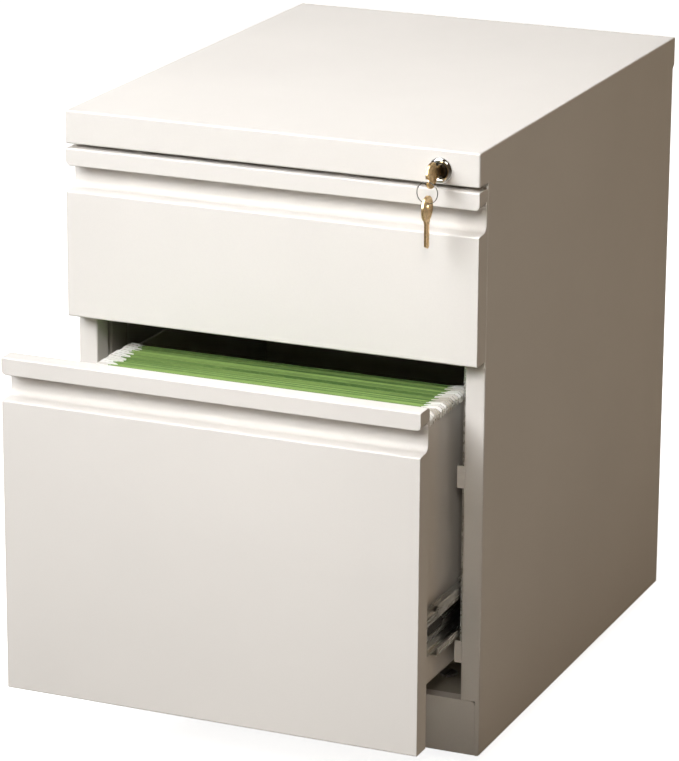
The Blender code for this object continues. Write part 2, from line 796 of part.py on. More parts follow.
def lock_plug(turning, chrome):
    """Plug with a keyway and a tail for the cam. Coordinates are from the lock's own empty."""
    face = -BEZEL_PROUD + MM
    tail_end = BARREL_LENGTH + 2 * GAP + CAM_THICKNESS + MM
    tail_start = BARREL_LENGTH + GAP
    profile = [
        (0, face),
        (PLUG_RADIUS, face),
        (PLUG_RADIUS, tail_start),
        (PLUG_RADIUS / 2, tail_start),
        (PLUG_RADIUS / 2, tail_end),
        (0, tail_end),
    ]
    plug = turned("lock_plug", turning, chrome, "y", profile)
    half_width = KEY_THICKNESS / 2 + GAP
    half_height = BLADE_HEIGHT / 2 + GAP
    keyway = plate(
        "keyway", turning, chrome, (-half_width, half_width),
        (face - MM, face + BLADE_LENGTH + GAP), (-half_height, half_height),
    )
    return cut(plug, keyway)


def lock_cam(turning, steel):
    """Flat arm on the plug's tail. It points right and down at rest and lifts the bar's foot."""
    start = BARREL_LENGTH + 2 * GAP
    arm = [
        (-CAM_HALF_WIDTH * 1.6, -CAM_HALF_WIDTH, MM),
        (CAM_LENGTH, -CAM_HALF_WIDTH, MM),
        (CAM_LENGTH, CAM_HALF_WIDTH, MM),
        (-CAM_HALF_WIDTH * 1.6, CAM_HALF_WIDTH, MM),
    ]
    turn = Matrix.Rotation(CAM_REST_ANGLE, 2)
    outline = [turn @ point for point in rounded(arm)]
    cam = prism("lock_cam", turning, steel, "y", outline, start, start + CAM_THICKNESS)
    radius = PLUG_RADIUS / 2 + GAP / 2
    profile = [(0, start - MM), (radius, start - MM)]
    profile += [(radius, start + CAM_THICKNESS + MM), (0, start + CAM_THICKNESS + MM)]
    return cut(cam, turned("cam_hole", turning, steel, "y", profile))


def key_outline(blade_length, bow_to_blade):
    """Key from the side: blade along +across with its shoulder at 0, and a round bow before it."""
    half = BLADE_HEIGHT / 2
    outline = [Vector((0, half)), Vector((0, half + MM)), Vector((-bow_to_blade, half + MM))]
    start = math.asin((half + MM) / BOW_RADIUS)
    centre = -bow_to_blade - BOW_RADIUS * math.cos(start)
    steps = 20
    for step in range(1, steps):
        angle = start + (2 * math.pi - 2 * start) * step / steps
        outline.append(Vector((centre + BOW_RADIUS * math.cos(angle), BOW_RADIUS * math.sin(angle))))
    outline += [Vector((-bow_to_blade, -half - MM)), Vector((0, -half - MM)), Vector((0, -half))]
    outline += [Vector((blade_length - half, -half)), Vector((blade_length, -half + 2 * MM))]
    outline += [Vector((blade_length - 3 * MM, half))]
    return outline


def key_hole(name, parent, finish, at):
    reach = KEY_THICKNESS
    profile = [(0, -reach), (KEY_HOLE_RADIUS, -reach), (KEY_HOLE_RADIUS, reach), (0, reach)]
    return turned(name, parent, finish, "x", profile, at, 16)


def key_in_lock(turning, brass):
    """Key in the keyway, its bow standing in the lock's vertical plane."""
    shoulder = -BEZEL_PROUD + MM - GAP
    neck = BOW_REACH - BEZEL_PROUD - BOW_RADIUS + 2 * MM
    outline = [(point.x + shoulder, point.y) for point in key_outline(BLADE_LENGTH, neck)]
    half = KEY_THICKNESS / 2
    key = prism("key_in_lock", turning, brass, "x", outline, -half, half)
    return cut(key, key_hole("key_in_lock_hole", turning, brass, (0, *ring_hole_place())))


def ring_hole_place():
    """Y and Z of the hole in the key's bow, from the lock's axis and the case's front plane."""
    return (-BEZEL_PROUD - BOW_REACH - KEY_HOLE_REACH, -KEY_HOLE_DROP)


def key_ring(swing, steel):
    """Split ring, drawn as one closed ring, hanging below its empty in the XZ plane."""
    steps = 8
    profile = []
    for step in range(steps):
        angle = 2 * math.pi * step / steps
        profile.append((RING_RADIUS + RING_WIRE * math.cos(angle), RING_WIRE * math.sin(angle)))
    return turned("key_ring", swing, steel, "y", profile[::-1], (0, 0, -RING_RADIUS))


def spare_key(hanging, brass):
    """Spare key hanging from the ring. Coordinates are from the middle of the ring."""
    wire_z = -RING_RADIUS
    hole_z = wire_z - (KEY_HOLE_RADIUS - RING_WIRE - GAP)
    top = hole_z + SPARE_HOLE_TO_TOP
    neck = 2 * MM
    outline = []
    plan = key_outline(SPARE_BLADE_LENGTH, neck)
    bow_end = min(point.x for point in plan)
    for point in plan:
        outline.append((point.y, top - (point.x - bow_end)))
    half = KEY_THICKNESS / 2
    key = prism("spare_key", hanging, brass, "x", outline, -half, half)
    return cut(key, key_hole("spare_key_hole", hanging, brass, (0, 0, hole_z)))


def lock_bar(cabinet, steel):
    """Upright strip with a tab in front of each drawer's catch and a foot above the cam."""
    body = empty("lock_bar_axis", cabinet)
    tip_drop = CAM_LENGTH * math.sin(CAM_REST_ANGLE) + CAM_HALF_WIDTH * math.cos(CAM_REST_ANGLE)
    foot_bottom = LOCK_Z + tip_drop + BAR_FOOT_RISE
    top = foot_bottom + BAR_THICKNESS
    bottom = PAN_TOP + BAR_BOTTOM_LIFT
    back = BAR_FRONT + BAR_WIDTH
    bar = plate("lock_bar", body, steel, (BAR_X, BAR_X + BAR_THICKNESS), (BAR_FRONT, back), (bottom, top))
    inside = BAR_X + BAR_THICKNESS / 2
    foot = plate(
        "lock_bar_foot", body, steel, (BAR_X - BAR_FOOT_WIDTH, inside), (BAR_FRONT, back),
        (foot_bottom, top),
    )
    join(bar, foot)
    tab_tops = (BOX_TUB_TOP - BOX_CATCH_DROP - TAB_GAP, FILE_TUB_TOP - FILE_CATCH_DROP - TAB_GAP)
    for index, tab_top in enumerate(tab_tops):
        tab = plate(
            f"lock_bar_tab_{index}", body, steel, (BAR_X - TAB_REACH, inside),
            (BAR_FRONT, BAR_FRONT + BAR_THICKNESS), (tab_top - TAB_HEIGHT, tab_top),
        )
        join(bar, tab)
    return bar


def lock(cabinet, steel, chrome, brass):
    lock_housing(cabinet, chrome)
    lock_nut(cabinet, steel)
    turning = empty("lock_turn_axis", cabinet, (LOCK_X, 0, LOCK_Z))
    lock_plug(turning, chrome)
    lock_cam(turning, steel)
    key_in_lock(turning, brass)
    hole_y, hole_z = ring_hole_place()
    wire_z = hole_z - (KEY_HOLE_RADIUS - RING_WIRE - GAP)
    swing = empty("key_ring_axis", turning, (0, hole_y, wire_z))
    key_ring(swing, steel)
    hanging = empty("spare_key_axis", swing, (0, 0, -RING_RADIUS))
    spare_key(hanging, brass)
    lock_bar(cabinet, steel)


# Casters


def fork(name, swivel, steel):
    """Sheet fork with its stem and head, and the axle between its cheeks."""
    inner = WHEEL_WIDTH / 2 + 1.2 * MM
    outer = inner + FORK_SHEET
    cheek_bottom = WHEEL_Z - AXLE_RADIUS - 4 * MM
    path = [
        (outer, cheek_bottom),
        (outer, FORK_TOP, 3 * MM),
        (-outer, FORK_TOP, 3 * MM),
        (-outer, cheek_bottom),
    ]
    start = -CASTER_OFFSET / 2 - FORK_HALF_LENGTH
    end = CASTER_OFFSET + AXLE_RADIUS + 4 * MM
    body = prism(name, swivel, steel, "y", sheet(path, FORK_SHEET), start, end)
    head_bottom = PAN_TOP + GAP
    stem = turned(
        name + "_stem",
        swivel,
        steel,
        "z",
        [
            (0, head_bottom + STEM_HEAD),
            (STEM_HEAD_RADIUS, head_bottom + STEM_HEAD),
            (STEM_HEAD_RADIUS, head_bottom),
            (STEM_RADIUS, head_bottom),
            (STEM_RADIUS, PAN_TOP - CASE_SHEET - 2 * MM),
            (STEM_HEAD_RADIUS, PAN_TOP - CASE_SHEET - 3 * MM),
            (STEM_HEAD_RADIUS, FORK_TOP - FORK_SHEET / 2),
            (0, FORK_TOP - FORK_SHEET / 2),
        ],
        steps=16,
    )
    reach = inner + FORK_SHEET + MM
    axle = turned(
        name + "_axle",
        swivel,
        steel,
        "x",
        [(0, -reach), (AXLE_RADIUS, -reach), (AXLE_RADIUS, reach), (0, reach)],
        (0, CASTER_OFFSET, WHEEL_Z),
        16,
    )
    join(body, stem)
    join(body, axle)
    return body


def wheel(name, rolling, rubber):
    """Wheel with a rounded tread and a bore that runs on the axle."""
    bore = AXLE_RADIUS + GAP
    half = WHEEL_WIDTH / 2
    tread = [
        (bore, half, 0),
        (bore, -half, 0),
        (WHEEL_RADIUS, -half, WHEEL_ROUND),
        (WHEEL_RADIUS, half, WHEEL_ROUND),
    ]
    return turned(name, rolling, rubber, "x", [tuple(point) for point in rounded(tread)])


def casters(cabinet, steel, rubber):
    for name, across, along in caster_places():
        swivel = empty("caster_swivel_axis_" + name, cabinet, (across, along, 0))
        fork("caster_fork_" + name, swivel, steel)
        rolling = empty("caster_roll_axis_" + name, swivel, (0, CASTER_OFFSET, WHEEL_Z))
        wheel("caster_wheel_" + name, rolling, rubber)


# Contents


def hanging_folders(drawer_body, card):
    """The row of folders as one solid: hanging bodies, and rods that rest on the tub's hems."""
    row = empty("folder_row_axis", drawer_body)
    body = TUB_X - HEM_WIDTH - FOLDER_SIDE_GAP
    rod = TUB_X + FOLDER_RAIL_OVERHANG
    rest = FILE_TUB_TOP + GAP
    foot = FILE_TUB_BOTTOM + FOLDER_FOOT_GAP
    rod_top = rest + FOLDER_RAIL_HEIGHT
    outline = [
        (-body, foot),
        (body, foot),
        (body, rest),
        (rod, rest),
        (rod, rod_top),
        (-rod, rod_top),
        (-rod, rest),
        (-body, rest),
    ]
    return prism("hanging_folders", row, card, "y", outline, FOLDER_START, FOLDER_START + FOLDER_ROW)


def main():
    clear_scene()
    paint = material("powder_coat", (0.80, 0.78, 0.73), 0.45)
    inside_paint = material("inside_coat", (0.55, 0.53, 0.49), 0.5)
    steel = material("zinc_steel", (0.56, 0.57, 0.55), 0.35, 1.0)
    chrome = material("chrome", (0.80, 0.80, 0.80), 0.12, 1.0)
    brass = material("brass", (0.78, 0.58, 0.26), 0.3, 1.0)
    rubber = material("wheel_plastic", (0.03, 0.03, 0.03), 0.5)
    card = material("folder_card", (0.20, 0.42, 0.10), 0.8)

    cabinet = empty("cabinet", at=(0, CASE_Y, 0))
    top_panel(cabinet, paint, lock_hole_cutter(cabinet, steel))
    for name, side in SIDES.items():
        side_panel("side_panel_" + name, cabinet, paint, side)
        stile("front_stile_" + name, cabinet, paint, side)
        upright("front_upright_" + name, cabinet, inside_paint, side, FRONT_UPRIGHT_START)
        rear_start = BACK_Y - REAR_UPRIGHT_INSET - UPRIGHT_LENGTH
        upright("rear_upright_" + name, cabinet, inside_paint, side, rear_start)
    back_panel(cabinet, paint)
    base_rail(cabinet, paint)
    bottom_pan(cabinet, inside_paint)

    box_levels = (BOX_BOTTOM, BOX_TOP)
    box_tub = (BOX_TUB_BOTTOM, BOX_TUB_TOP)
    box = drawer("box", (0, 0, 0), cabinet, paint, box_levels, box_tub, BOX_CATCH_DROP, steel)
    file_levels = (FILE_BOTTOM, FILE_TOP)
    file_tub = (FILE_TUB_BOTTOM, FILE_TUB_TOP)
    open_at = (0, -FILE_OPEN, 0)
    file = drawer("file", open_at, cabinet, paint, file_levels, file_tub, FILE_CATCH_DROP, steel)
    box_slides(cabinet, box, steel)
    file_slides(cabinet, file, steel)
    hanging_folders(file, card)
    lock(cabinet, steel, chrome, brass)
    casters(cabinet, steel, rubber)


main()
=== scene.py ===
"""The looks of the two-drawer steel filing pedestal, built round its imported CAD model.

Everything is in metres in the frame's own axes: +X to the viewer's right, +Y from the drawers to
the back, +Z up from the floor. Sizes and places come from the frame's nodes wherever the CAD has
them.
"""

import json
import math
import random

import bmesh
import bpy
from mathutils import Matrix, Vector

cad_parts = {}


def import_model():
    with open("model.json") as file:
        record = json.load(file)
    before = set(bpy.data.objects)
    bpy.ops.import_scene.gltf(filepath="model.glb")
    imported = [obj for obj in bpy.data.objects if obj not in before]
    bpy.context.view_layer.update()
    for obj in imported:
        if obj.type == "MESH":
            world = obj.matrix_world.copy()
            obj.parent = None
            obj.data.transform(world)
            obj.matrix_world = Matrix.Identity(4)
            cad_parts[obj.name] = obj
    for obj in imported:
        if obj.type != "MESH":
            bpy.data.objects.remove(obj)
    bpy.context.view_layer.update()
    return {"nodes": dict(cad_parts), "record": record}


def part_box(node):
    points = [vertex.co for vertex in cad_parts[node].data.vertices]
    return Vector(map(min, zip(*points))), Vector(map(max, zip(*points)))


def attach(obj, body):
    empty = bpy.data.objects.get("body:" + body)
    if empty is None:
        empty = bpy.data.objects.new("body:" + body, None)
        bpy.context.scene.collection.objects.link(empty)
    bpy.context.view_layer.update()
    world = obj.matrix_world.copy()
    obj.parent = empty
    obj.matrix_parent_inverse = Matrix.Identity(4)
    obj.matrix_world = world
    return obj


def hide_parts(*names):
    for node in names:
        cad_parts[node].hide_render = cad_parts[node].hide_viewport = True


MM = 0.001
SEED = 11

# Sheet metal
SHEET = 1.0 * MM
BEND = 1.6 * MM
SMALL_BEND = 0.8 * MM
RECESS_COVE = 6 * MM
LIP_HEIGHT = 15.5 * MM
PULL_HEIGHT = 38 * MM
PULL_DEPTH = 17 * MM
LEDGE_FALL = 1.5 * MM
LIP_CORNER = 5 * MM
LIP_BACK_BEND = 4 * MM
RAIL_CORNER = 5 * MM
KEEPER_HEIGHT = 20 * MM
KEEPER_GAP = 2 * MM
HEM_HEIGHT = 9 * MM
HEM_BEND = 1.05 * MM

# Seams between pieces of sheet
GAP = 0.3 * MM

# File drawer's slides. An opening is its start behind the member's front, its length and height.
MEMBER_SHEET = 1.1 * MM
RACE_LIP = 1.4 * MM
FRONT_SLOT = (69 * MM, 37 * MM, 10 * MM)
FRONT_WINDOW = (-20 * MM, 92 * MM, 27 * MM)
ROUND_HOLES = [(start * MM, 9 * MM, 5.5 * MM) for start in (30, 160, 255, 330, 400)]
OPENING_DROP = 1.5 * MM

# Keys
BLADE_HALF = 3.8 * MM
SHOULDER_STEP = 1.0 * MM
KEY_BLADE = 20 * MM
SPARE_BLADE = 22 * MM
RING_MARGIN = 0.7 * MM
RING_WIRE = 0.36 * MM
RING_TURNS = 1.9

# Hanging folders
FOLDERS = 29
ROW_MARGIN = 3 * MM
LEAF_REACH = 149 * MM
LEAF_THICKNESS = 0.45 * MM
ROD_HEIGHT = 5.5 * MM
ROD_WIDTH = 1.3 * MM
HOOK_WIDTH = 1.25 * MM

# Camera: its angles in degrees, its place, and its lens in millimetres
CAMERA_AZIMUTH = 23.08
CAMERA_ELEVATION = 17.17
CAMERA_ROLL = 0.35
CAMERA_PLACE = (1.26909, -3.01287, 1.29016)
CAMERA_LENS = 179.54

# Brightness of the floor and of the surroundings as the camera sees them, and the light they give
FLOOR_GLOW = 0.9
SURROUND_GLOW = 1.2
WRAP_COLOR = (1.0, 0.70, 0.42)
WRAP_GLOW = 0.065

# Lamps: name, place, aim, size, power in watts, colour, spread in degrees
LAMPS = (
    ("key_light", (-1.2, -2.5, 2.15), (0, -0.1, 0.66), (1.9, 1.4), 14.5, (0.965, 0.98, 1.0), 60),
    ("top_light", (-0.7, -0.7, 2.7), (0, 0, 0.4), (1.5, 1.3), 41, (0.97, 0.985, 1.0), 180),
    ("front_fill", (1.0, -2.4, 2.1), (0.06, -0.2, 0.50), (0.7, 0.7), 0.62, (1.0, 0.94, 0.86), 24),
    ("side_fill", (2.9, 2.3, 1.6), (0, 0, 0.35), (1.2, 1.2), 14, (1.0, 0.745, 0.48), 180),
    ("back_light", (0.6, 3.0, 1.8), (0, 0, 0.35), (1.6, 1.6), 10, (1.0, 0.97, 0.93), 180),
)


# Building meshes


def link(obj):
    bpy.context.scene.collection.objects.link(obj)
    return obj


def object_from(name, shape):
    """A new object from a bmesh, with its faces turned outwards."""
    bmesh.ops.recalc_face_normals(shape, faces=shape.faces)
    mesh = bpy.data.meshes.new(name)
    shape.to_mesh(mesh)
    shape.free()
    return link(bpy.data.objects.new(name, mesh))


def settle(obj):
    """Applies the modifiers of an object."""
    bpy.context.view_layer.update()
    graph = bpy.context.evaluated_depsgraph_get()
    made = bpy.data.meshes.new_from_object(obj.evaluated_get(graph))
    obj.modifiers.clear()
    obj.data = made
    return obj


def combine(base, tools, operation):
    """Cuts the tools from the base, or joins them to it."""
    for tool in tools:
        change = base.modifiers.new(tool.name, "BOOLEAN")
        change.operation = operation
        change.object = tool
        change.solver = "EXACT"
    settle(base)
    for tool in tools:
        bpy.data.objects.remove(tool)
    return base


def fillet(before, corner, after, radius, steps=4):
    """The arc that rounds one corner of an outline."""
    if radius <= 0:
        return [corner]
    towards_before = (before - corner).normalized()
    towards_after = (after - corner).normalized()
    half = towards_before.angle(towards_after) / 2
    centre = corner + (towards_before + towards_after).normalized() * radius / math.sin(half)
    first = corner + towards_before * radius / math.tan(half) - centre
    last = corner + towards_after * radius / math.tan(half) - centre
    turn = first.angle_signed(last)
    points = []
    for step in range(steps + 1):
        arm = first.copy()
        arm.rotate(Matrix.Rotation(-turn * step / steps, 2))
        points.append(centre + arm)
    return points


def rounded(points, closed=True, steps=4):
    """An outline of (across, up, radius) points with its corners rounded."""
    corners = [Vector(point[:2]) for point in points]
    radii = [point[2] if len(point) > 2 else 0 for point in points]
    outline = []
    for index, corner in enumerate(corners):
        if not closed and index in (0, len(corners) - 1):
            outline.append(corner)
            continue
        after = corners[(index + 1) % len(corners)]
        outline += fillet(corners[index - 1], corner, after, radii[index], steps)
    return outline


def left_of(start, end):
    """The direction to the left of a line."""
    along = (end - start).normalized()
    return Vector((-along.y, along.x))


def offset(path, distance):
    """An open path moved to its own left, its bends kept concentric."""
    corners = [Vector(point[:2]) for point in path]
    moved = []
    for index, corner in enumerate(corners):
        radius = path[index][2] if len(path[index]) > 2 else 0
        before = left_of(corners[index - 1], corner) if index else None
        after = left_of(corner, corners[index + 1]) if index + 1 < len(corners) else None
        if before is None or after is None:
            moved.append((*(corner + (after or before) * distance), 0))
            continue
        mitre = (before + after).normalized()
        reach = distance / mitre.dot(before)
        turns_left = before.x * after.y - before.y * after.x > 0
        new_radius = max(radius - distance, 0) if turns_left else radius + distance
        moved.append((*(corner + mitre * reach), new_radius if radius else 0))
    return moved


def sheet(path, thickness):
    """The closed outline of a bent sheet whose metal lies to the left of the path."""
    return rounded(path, closed=False) + rounded(offset(path, thickness), closed=False)[::-1]


def in_space(axis, point, along):
    """Outlines lie in YZ for x, XZ for y and XY for z."""
    across, up = point[0], point[1]
    return {"x": (along, across, up), "y": (across, along, up), "z": (across, up, along)}[axis]


def add_prism(shape, axis, outline, start, end):
    """Draws an outline out along an axis, and returns the edges round its two ends."""
    near = [shape.verts.new(in_space(axis, point, start)) for point in outline]
    far = [shape.verts.new(in_space(axis, point, end)) for point in outline]
    caps = [shape.faces.new(near), shape.faces.new(far)]
    for index in range(len(outline)):
        after = (index + 1) % len(outline)
        shape.faces.new((near[index], near[after], far[after], far[index]))
    return [edge for cap in caps for edge in cap.edges]


def prism(name, axis, outline, start, end, end_bevel=0.0, segments=3):
    """A solid with the same outline all along an axis, the edges of its two ends bevelled."""
    shape = bmesh.new()
    ends = add_prism(shape, axis, outline, start, end)
    if end_bevel:
        bmesh.ops.recalc_face_normals(shape, faces=shape.faces)
        bmesh.ops.bevel(
            shape, geom=ends, offset=end_bevel, segments=segments, profile=0.5,
            affect="EDGES", clamp_overlap=True,
        )
    return object_from(name, shape)


def rectangle(low_across, high_across, low_up, high_up, radius=0.0):
    """Four corners, each with the radius that rounded() gives it."""
    return [
        (low_across, low_up, radius),
        (high_across, low_up, radius),
        (high_across, high_up, radius),
        (low_across, high_up, radius),
    ]


def block(name, x_span, y_span, z_span):
    return prism(name, "z", rectangle(*x_span, *y_span), *z_span)


def slot_outline(centre_across, centre_up, length, height):
    """An obround, its long side across. Its ends stop just short of half rounds."""
    half = height / 2
    low, high = centre_across - length / 2, centre_across + length / 2
    corners = rectangle(low, high, centre_up - half, centre_up + half, half * 0.999)
    return rounded(corners, steps=8)


def add_turned(shape, axis, profile, centre, steps):
    """Turns a profile of (radius, along) points about an axis through the centre."""
    turn_axis = Vector((axis == "x", axis == "y", axis == "z"))
    side = Vector((0, 0, 1)) if axis != "z" else Vector((1, 0, 0))
    rows = []
    for radius, along in profile:
        middle = Vector(centre) + turn_axis * along
        if radius == 0:
            rows.append([shape.verts.new(middle)])
            continue
        arms = [Matrix.Rotation(2 * math.pi * k / steps, 3, turn_axis) @ side for k in range(steps)]
        rows.append([shape.verts.new(middle + arm * radius) for arm in arms])
    for row, after_row in zip(rows, rows[1:] + rows[:1]):
        if len(row) == 1 and len(after_row) == 1:
            continue
        for k in range(steps):
            after = (k + 1) % steps
            corners = [row[k % len(row)], row[after % len(row)]]
            corners += [after_row[after % len(after_row)], after_row[k % len(after_row)]]
            shape.faces.new(list(dict.fromkeys(corners)))


def turned(name, axis, profile, centre, steps=48):
    """A solid turned from a profile."""
    shape = bmesh.new()
    add_turned(shape, axis, profile, centre, steps)
    return object_from(name, shape)


def add_tube(shape, points, radius, sides):
    """A round wire along a list of points, with flat ends."""
    last = len(points) - 1
    rings = []
    for index, point in enumerate(points):
        along = (points[min(index + 1, last)] - points[max(index - 1, 0)]).normalized()
        helper = Vector((0, 1, 0)) if abs(along.y) < 0.8 else Vector((1, 0, 0))
        first = along.cross(helper).normalized()
        second = along.cross(first).normalized()
        ring = []
        for k in range(sides):
            angle = 2 * math.pi * k / sides
            arm = first * math.cos(angle) + second * math.sin(angle)
            ring.append(shape.verts.new(point + arm * radius))
        rings.append(ring)
    for ring, after_ring in zip(rings, rings[1:]):
        for k in range(sides):
            after = (k + 1) % sides
            shape.faces.new((ring[k], ring[after], after_ring[after], after_ring[k]))
    shape.faces.new(rings[0][::-1])
    shape.faces.new(rings[-1])


def finish(obj, material, body, replaces=(), bevel=0.0, angle=32):
    """Gives a piece its material, shading and body, and hides the CAD nodes it stands for."""
    obj.data.materials.clear()
    obj.data.materials.append(material)
    if bevel:
        edge = obj.modifiers.new("edges", "BEVEL")
        edge.width = bevel
        edge.segments = 2
        edge.limit_method = "ANGLE"
        edge.angle_limit = math.radians(40)
        settle(obj)
    obj.data.shade_smooth()
    obj.data.set_sharp_from_angle(angle=math.radians(angle))
    weighted = obj.modifiers.new("flats", "WEIGHTED_NORMAL")
    weighted.keep_sharp = True
    weighted.weight = 100
    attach(obj, body)
    if replaces:
        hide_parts(*replaces)
    return obj


# Materials


class Nodes:
    """A material's node tree with short calls for the nodes used here."""

    def __init__(self, name):
        self.material = bpy.data.materials.new(name)
        self.material.use_nodes = True
        self.tree = self.material.node_tree
        self.shader = self.tree.nodes["Principled BSDF"]
        self.place = self.add("ShaderNodeTexCoord").outputs["Object"]

    def add(self, kind, **values):
        node = self.tree.nodes.new(kind)
        for key, value in values.items():
            setattr(node, key, value)
        return node

    def join(self, output, target):
        self.tree.links.new(output, target)

    def stretched(self, scale):
        mapping = self.add("ShaderNodeMapping")
        mapping.inputs["Scale"].default_value = scale
        self.join(self.place, mapping.inputs["Vector"])
        return mapping.outputs["Vector"]

    def noise(self, scale, detail=3.0, roughness=0.5, vector=None):
        node = self.add("ShaderNodeTexNoise")
        node.inputs["Scale"].default_value = scale
        node.inputs["Detail"].default_value = detail
        node.inputs["Roughness"].default_value = roughness
        self.join(vector or self.place, node.inputs["Vector"])
        return node.outputs["Fac"]

    def spread(self, value, low, high, new_low, new_high):
        """A value between low and high, mapped to new_low to new_high and clamped there."""
        node = self.add("ShaderNodeMapRange")
        for name, number in (
            ("From Min", low), ("From Max", high), ("To Min", new_low), ("To Max", new_high),
        ):
            node.inputs[name].default_value = number
        self.join(value, node.inputs["Value"])
        return node.outputs["Result"]

    def mix(self, factor, first, second):
        """A colour between two, each a colour or a socket."""
        node = self.add("ShaderNodeMix", data_type="RGBA")
        self.join(factor, node.inputs["Factor"])
        for socket, value in ((node.inputs[6], first), (node.inputs[7], second)):
            if isinstance(value, tuple):
                socket.default_value = (*value, 1.0)
            else:
                self.join(value, socket)
        return node.outputs[2]

    def bump(self, height, strength, distance, normal=None):
        node = self.add("ShaderNodeBump")
        node.inputs["Strength"].default_value = strength
        node.inputs["Distance"].default_value = distance
        self.join(height, node.inputs["Height"])
        if normal:
            self.join(normal, node.inputs["Normal"])
        return node.outputs["Normal"]

    def to_shader(self, name, value):
        """Sets a socket of the shader to a number or a colour, or joins an output to it."""
        if isinstance(value, (int, float)):
            self.shader.inputs[name].default_value = value
        elif isinstance(value, tuple):
            self.shader.inputs[name].default_value = (*value, 1.0)
        else:
            self.join(value, self.shader.inputs[name])


def scaled(color, factor):
    """A colour made lighter or darker."""
    return tuple(min(1.0, channel * factor) for channel in color)


def powder_coat(name, color, roughness=0.55):
    """Baked powder coat: fine orange peel, faint mottling and uneven sheen."""
    made = Nodes(name)
    cloud = made.spread(made.noise(5.0, 4.0), 0.3, 0.7, 0.0, 1.0)
    speck = made.spread(made.noise(900.0, 2.0), 0.35, 0.65, 0.0, 1.0)
    base = made.mix(cloud, scaled(color, 0.975), scaled(color, 1.015))
    flecked = made.mix(made.spread(speck, 0.0, 1.0, 0.0, 0.06), base, scaled(color, 0.8))
    made.to_shader("Base Color", flecked)
    sheen = made.noise(14.0, 5.0)
    made.to_shader("Roughness", made.spread(sheen, 0.3, 0.7, roughness - 0.05, roughness + 0.06))
    peel = made.bump(made.noise(420.0, 3.0, 0.55), 0.10, 0.0006)
    grain = made.bump(made.noise(1800.0, 2.0), 0.07, 0.0002, peel)
    made.to_shader("Normal", grain)
    made.to_shader("Specular IOR Level", 0.35)
    return made.material


def plated_steel(name, color, roughness):
    """Zinc-plated strip, with rolling lines along Y and faint blotches of plating."""
    made = Nodes(name)
    lines = made.noise(260.0, 4.0, 0.6, made.stretched((1.0, 0.02, 1.0)))
    blotch = made.spread(made.noise(38.0, 5.0, 0.6), 0.35, 0.65, 0.0, 1.0)
    made.to_shader("Base Color", made.mix(blotch, scaled(color, 0.86), scaled(color, 1.08)))
    made.to_shader("Metallic", 1.0)
    made.to_shader("Roughness", made.spread(lines, 0.3, 0.7, roughness - 0.08, roughness + 0.12))
    made.to_shader("Normal", made.bump(lines, 0.12, 0.00025))
    return made.material


def polished(name, color, roughness=0.07):
    """Bright plate with hairline wear and slight waviness."""
    made = Nodes(name)
    hair = made.noise(1400.0, 3.0, 0.7, made.stretched((1.0, 1.0, 0.08)))
    made.to_shader("Base Color", made.mix(made.noise(160.0), scaled(color, 0.94), color))
    made.to_shader("Metallic", 1.0)
    made.to_shader("Roughness", made.spread(hair, 0.4, 0.8, roughness, roughness + 0.14))
    made.to_shader("Normal", made.bump(made.noise(240.0, 2.0), 0.06, 0.0003))
    return made.material


def brass(name, color):
    """Stamped brass with a handled, slightly tarnished face."""
    made = Nodes(name)
    tarnish = made.spread(made.noise(330.0, 5.0, 0.65), 0.38, 0.68, 0.0, 1.0)
    made.to_shader("Base Color", made.mix(tarnish, color, scaled(color, 0.62)))
    made.to_shader("Metallic", 1.0)
    scratches = made.noise(2200.0, 3.0, 0.7, made.stretched((1.0, 0.1, 1.0)))
    made.to_shader("Roughness", made.spread(scratches, 0.3, 0.75, 0.22, 0.46))
    made.to_shader("Normal", made.bump(scratches, 0.2, 0.0002))
    return made.material


def pressed_card(name, light, dark):
    """Folder card, its shade changing from leaf to leaf along Y, with fibres and pale flecks."""
    made = Nodes(name)
    fibre = made.noise(900.0, 5.0, 0.7, made.stretched((0.12, 1.0, 0.5)))
    leaves = made.noise(520.0, 1.0, 0.5, made.stretched((0.004, 1.0, 0.01)))
    base = made.mix(made.spread(leaves, 0.38, 0.62, 0.0, 1.0), dark, light)
    flecked = made.mix(made.spread(fibre, 0.5, 0.8, 0.0, 0.35), base, scaled(light, 1.45))
    made.to_shader("Base Color", flecked)
    made.to_shader("Roughness", made.spread(fibre, 0.3, 0.7, 0.68, 0.86))
    made.to_shader("Normal", made.bump(fibre, 0.3, 0.0003))
    return made.material


def coated_rod(name, color, shade):
    """Pale coated steel, darker in strips along Y: painted shade for the gaps between the hooks."""
    made = Nodes(name)
    # Thin darker strips along Y: painted shade that stands in for the gaps between the hooks.
    painted_gap_shade = made.noise(900.0, 1.0, 0.5, made.stretched((0.004, 1.0, 0.01)))
    made.to_shader("Base Color", made.mix(made.spread(painted_gap_shade, 0.36, 0.46, 0.0, 1.0), shade, color))
    made.to_shader("Roughness", made.spread(made.noise(300.0, 4.0), 0.3, 0.7, 0.25, 0.45))
    made.to_shader("Normal", made.bump(made.noise(1300.0, 3.0), 0.06, 0.0003))
    return made.material


def plastic(name, color):
    """Moulded plastic with a fine grain and an uneven sheen."""
    made = Nodes(name)
    cloud = made.noise(70.0, 4.0)
    made.to_shader("Base Color", made.mix(cloud, scaled(color, 0.85), scaled(color, 1.2)))
    made.to_shader("Roughness", made.spread(made.noise(300.0, 4.0), 0.3, 0.7, 0.35, 0.55))
    made.to_shader("Normal", made.bump(made.noise(1300.0, 3.0), 0.12, 0.0003))
    return made.material


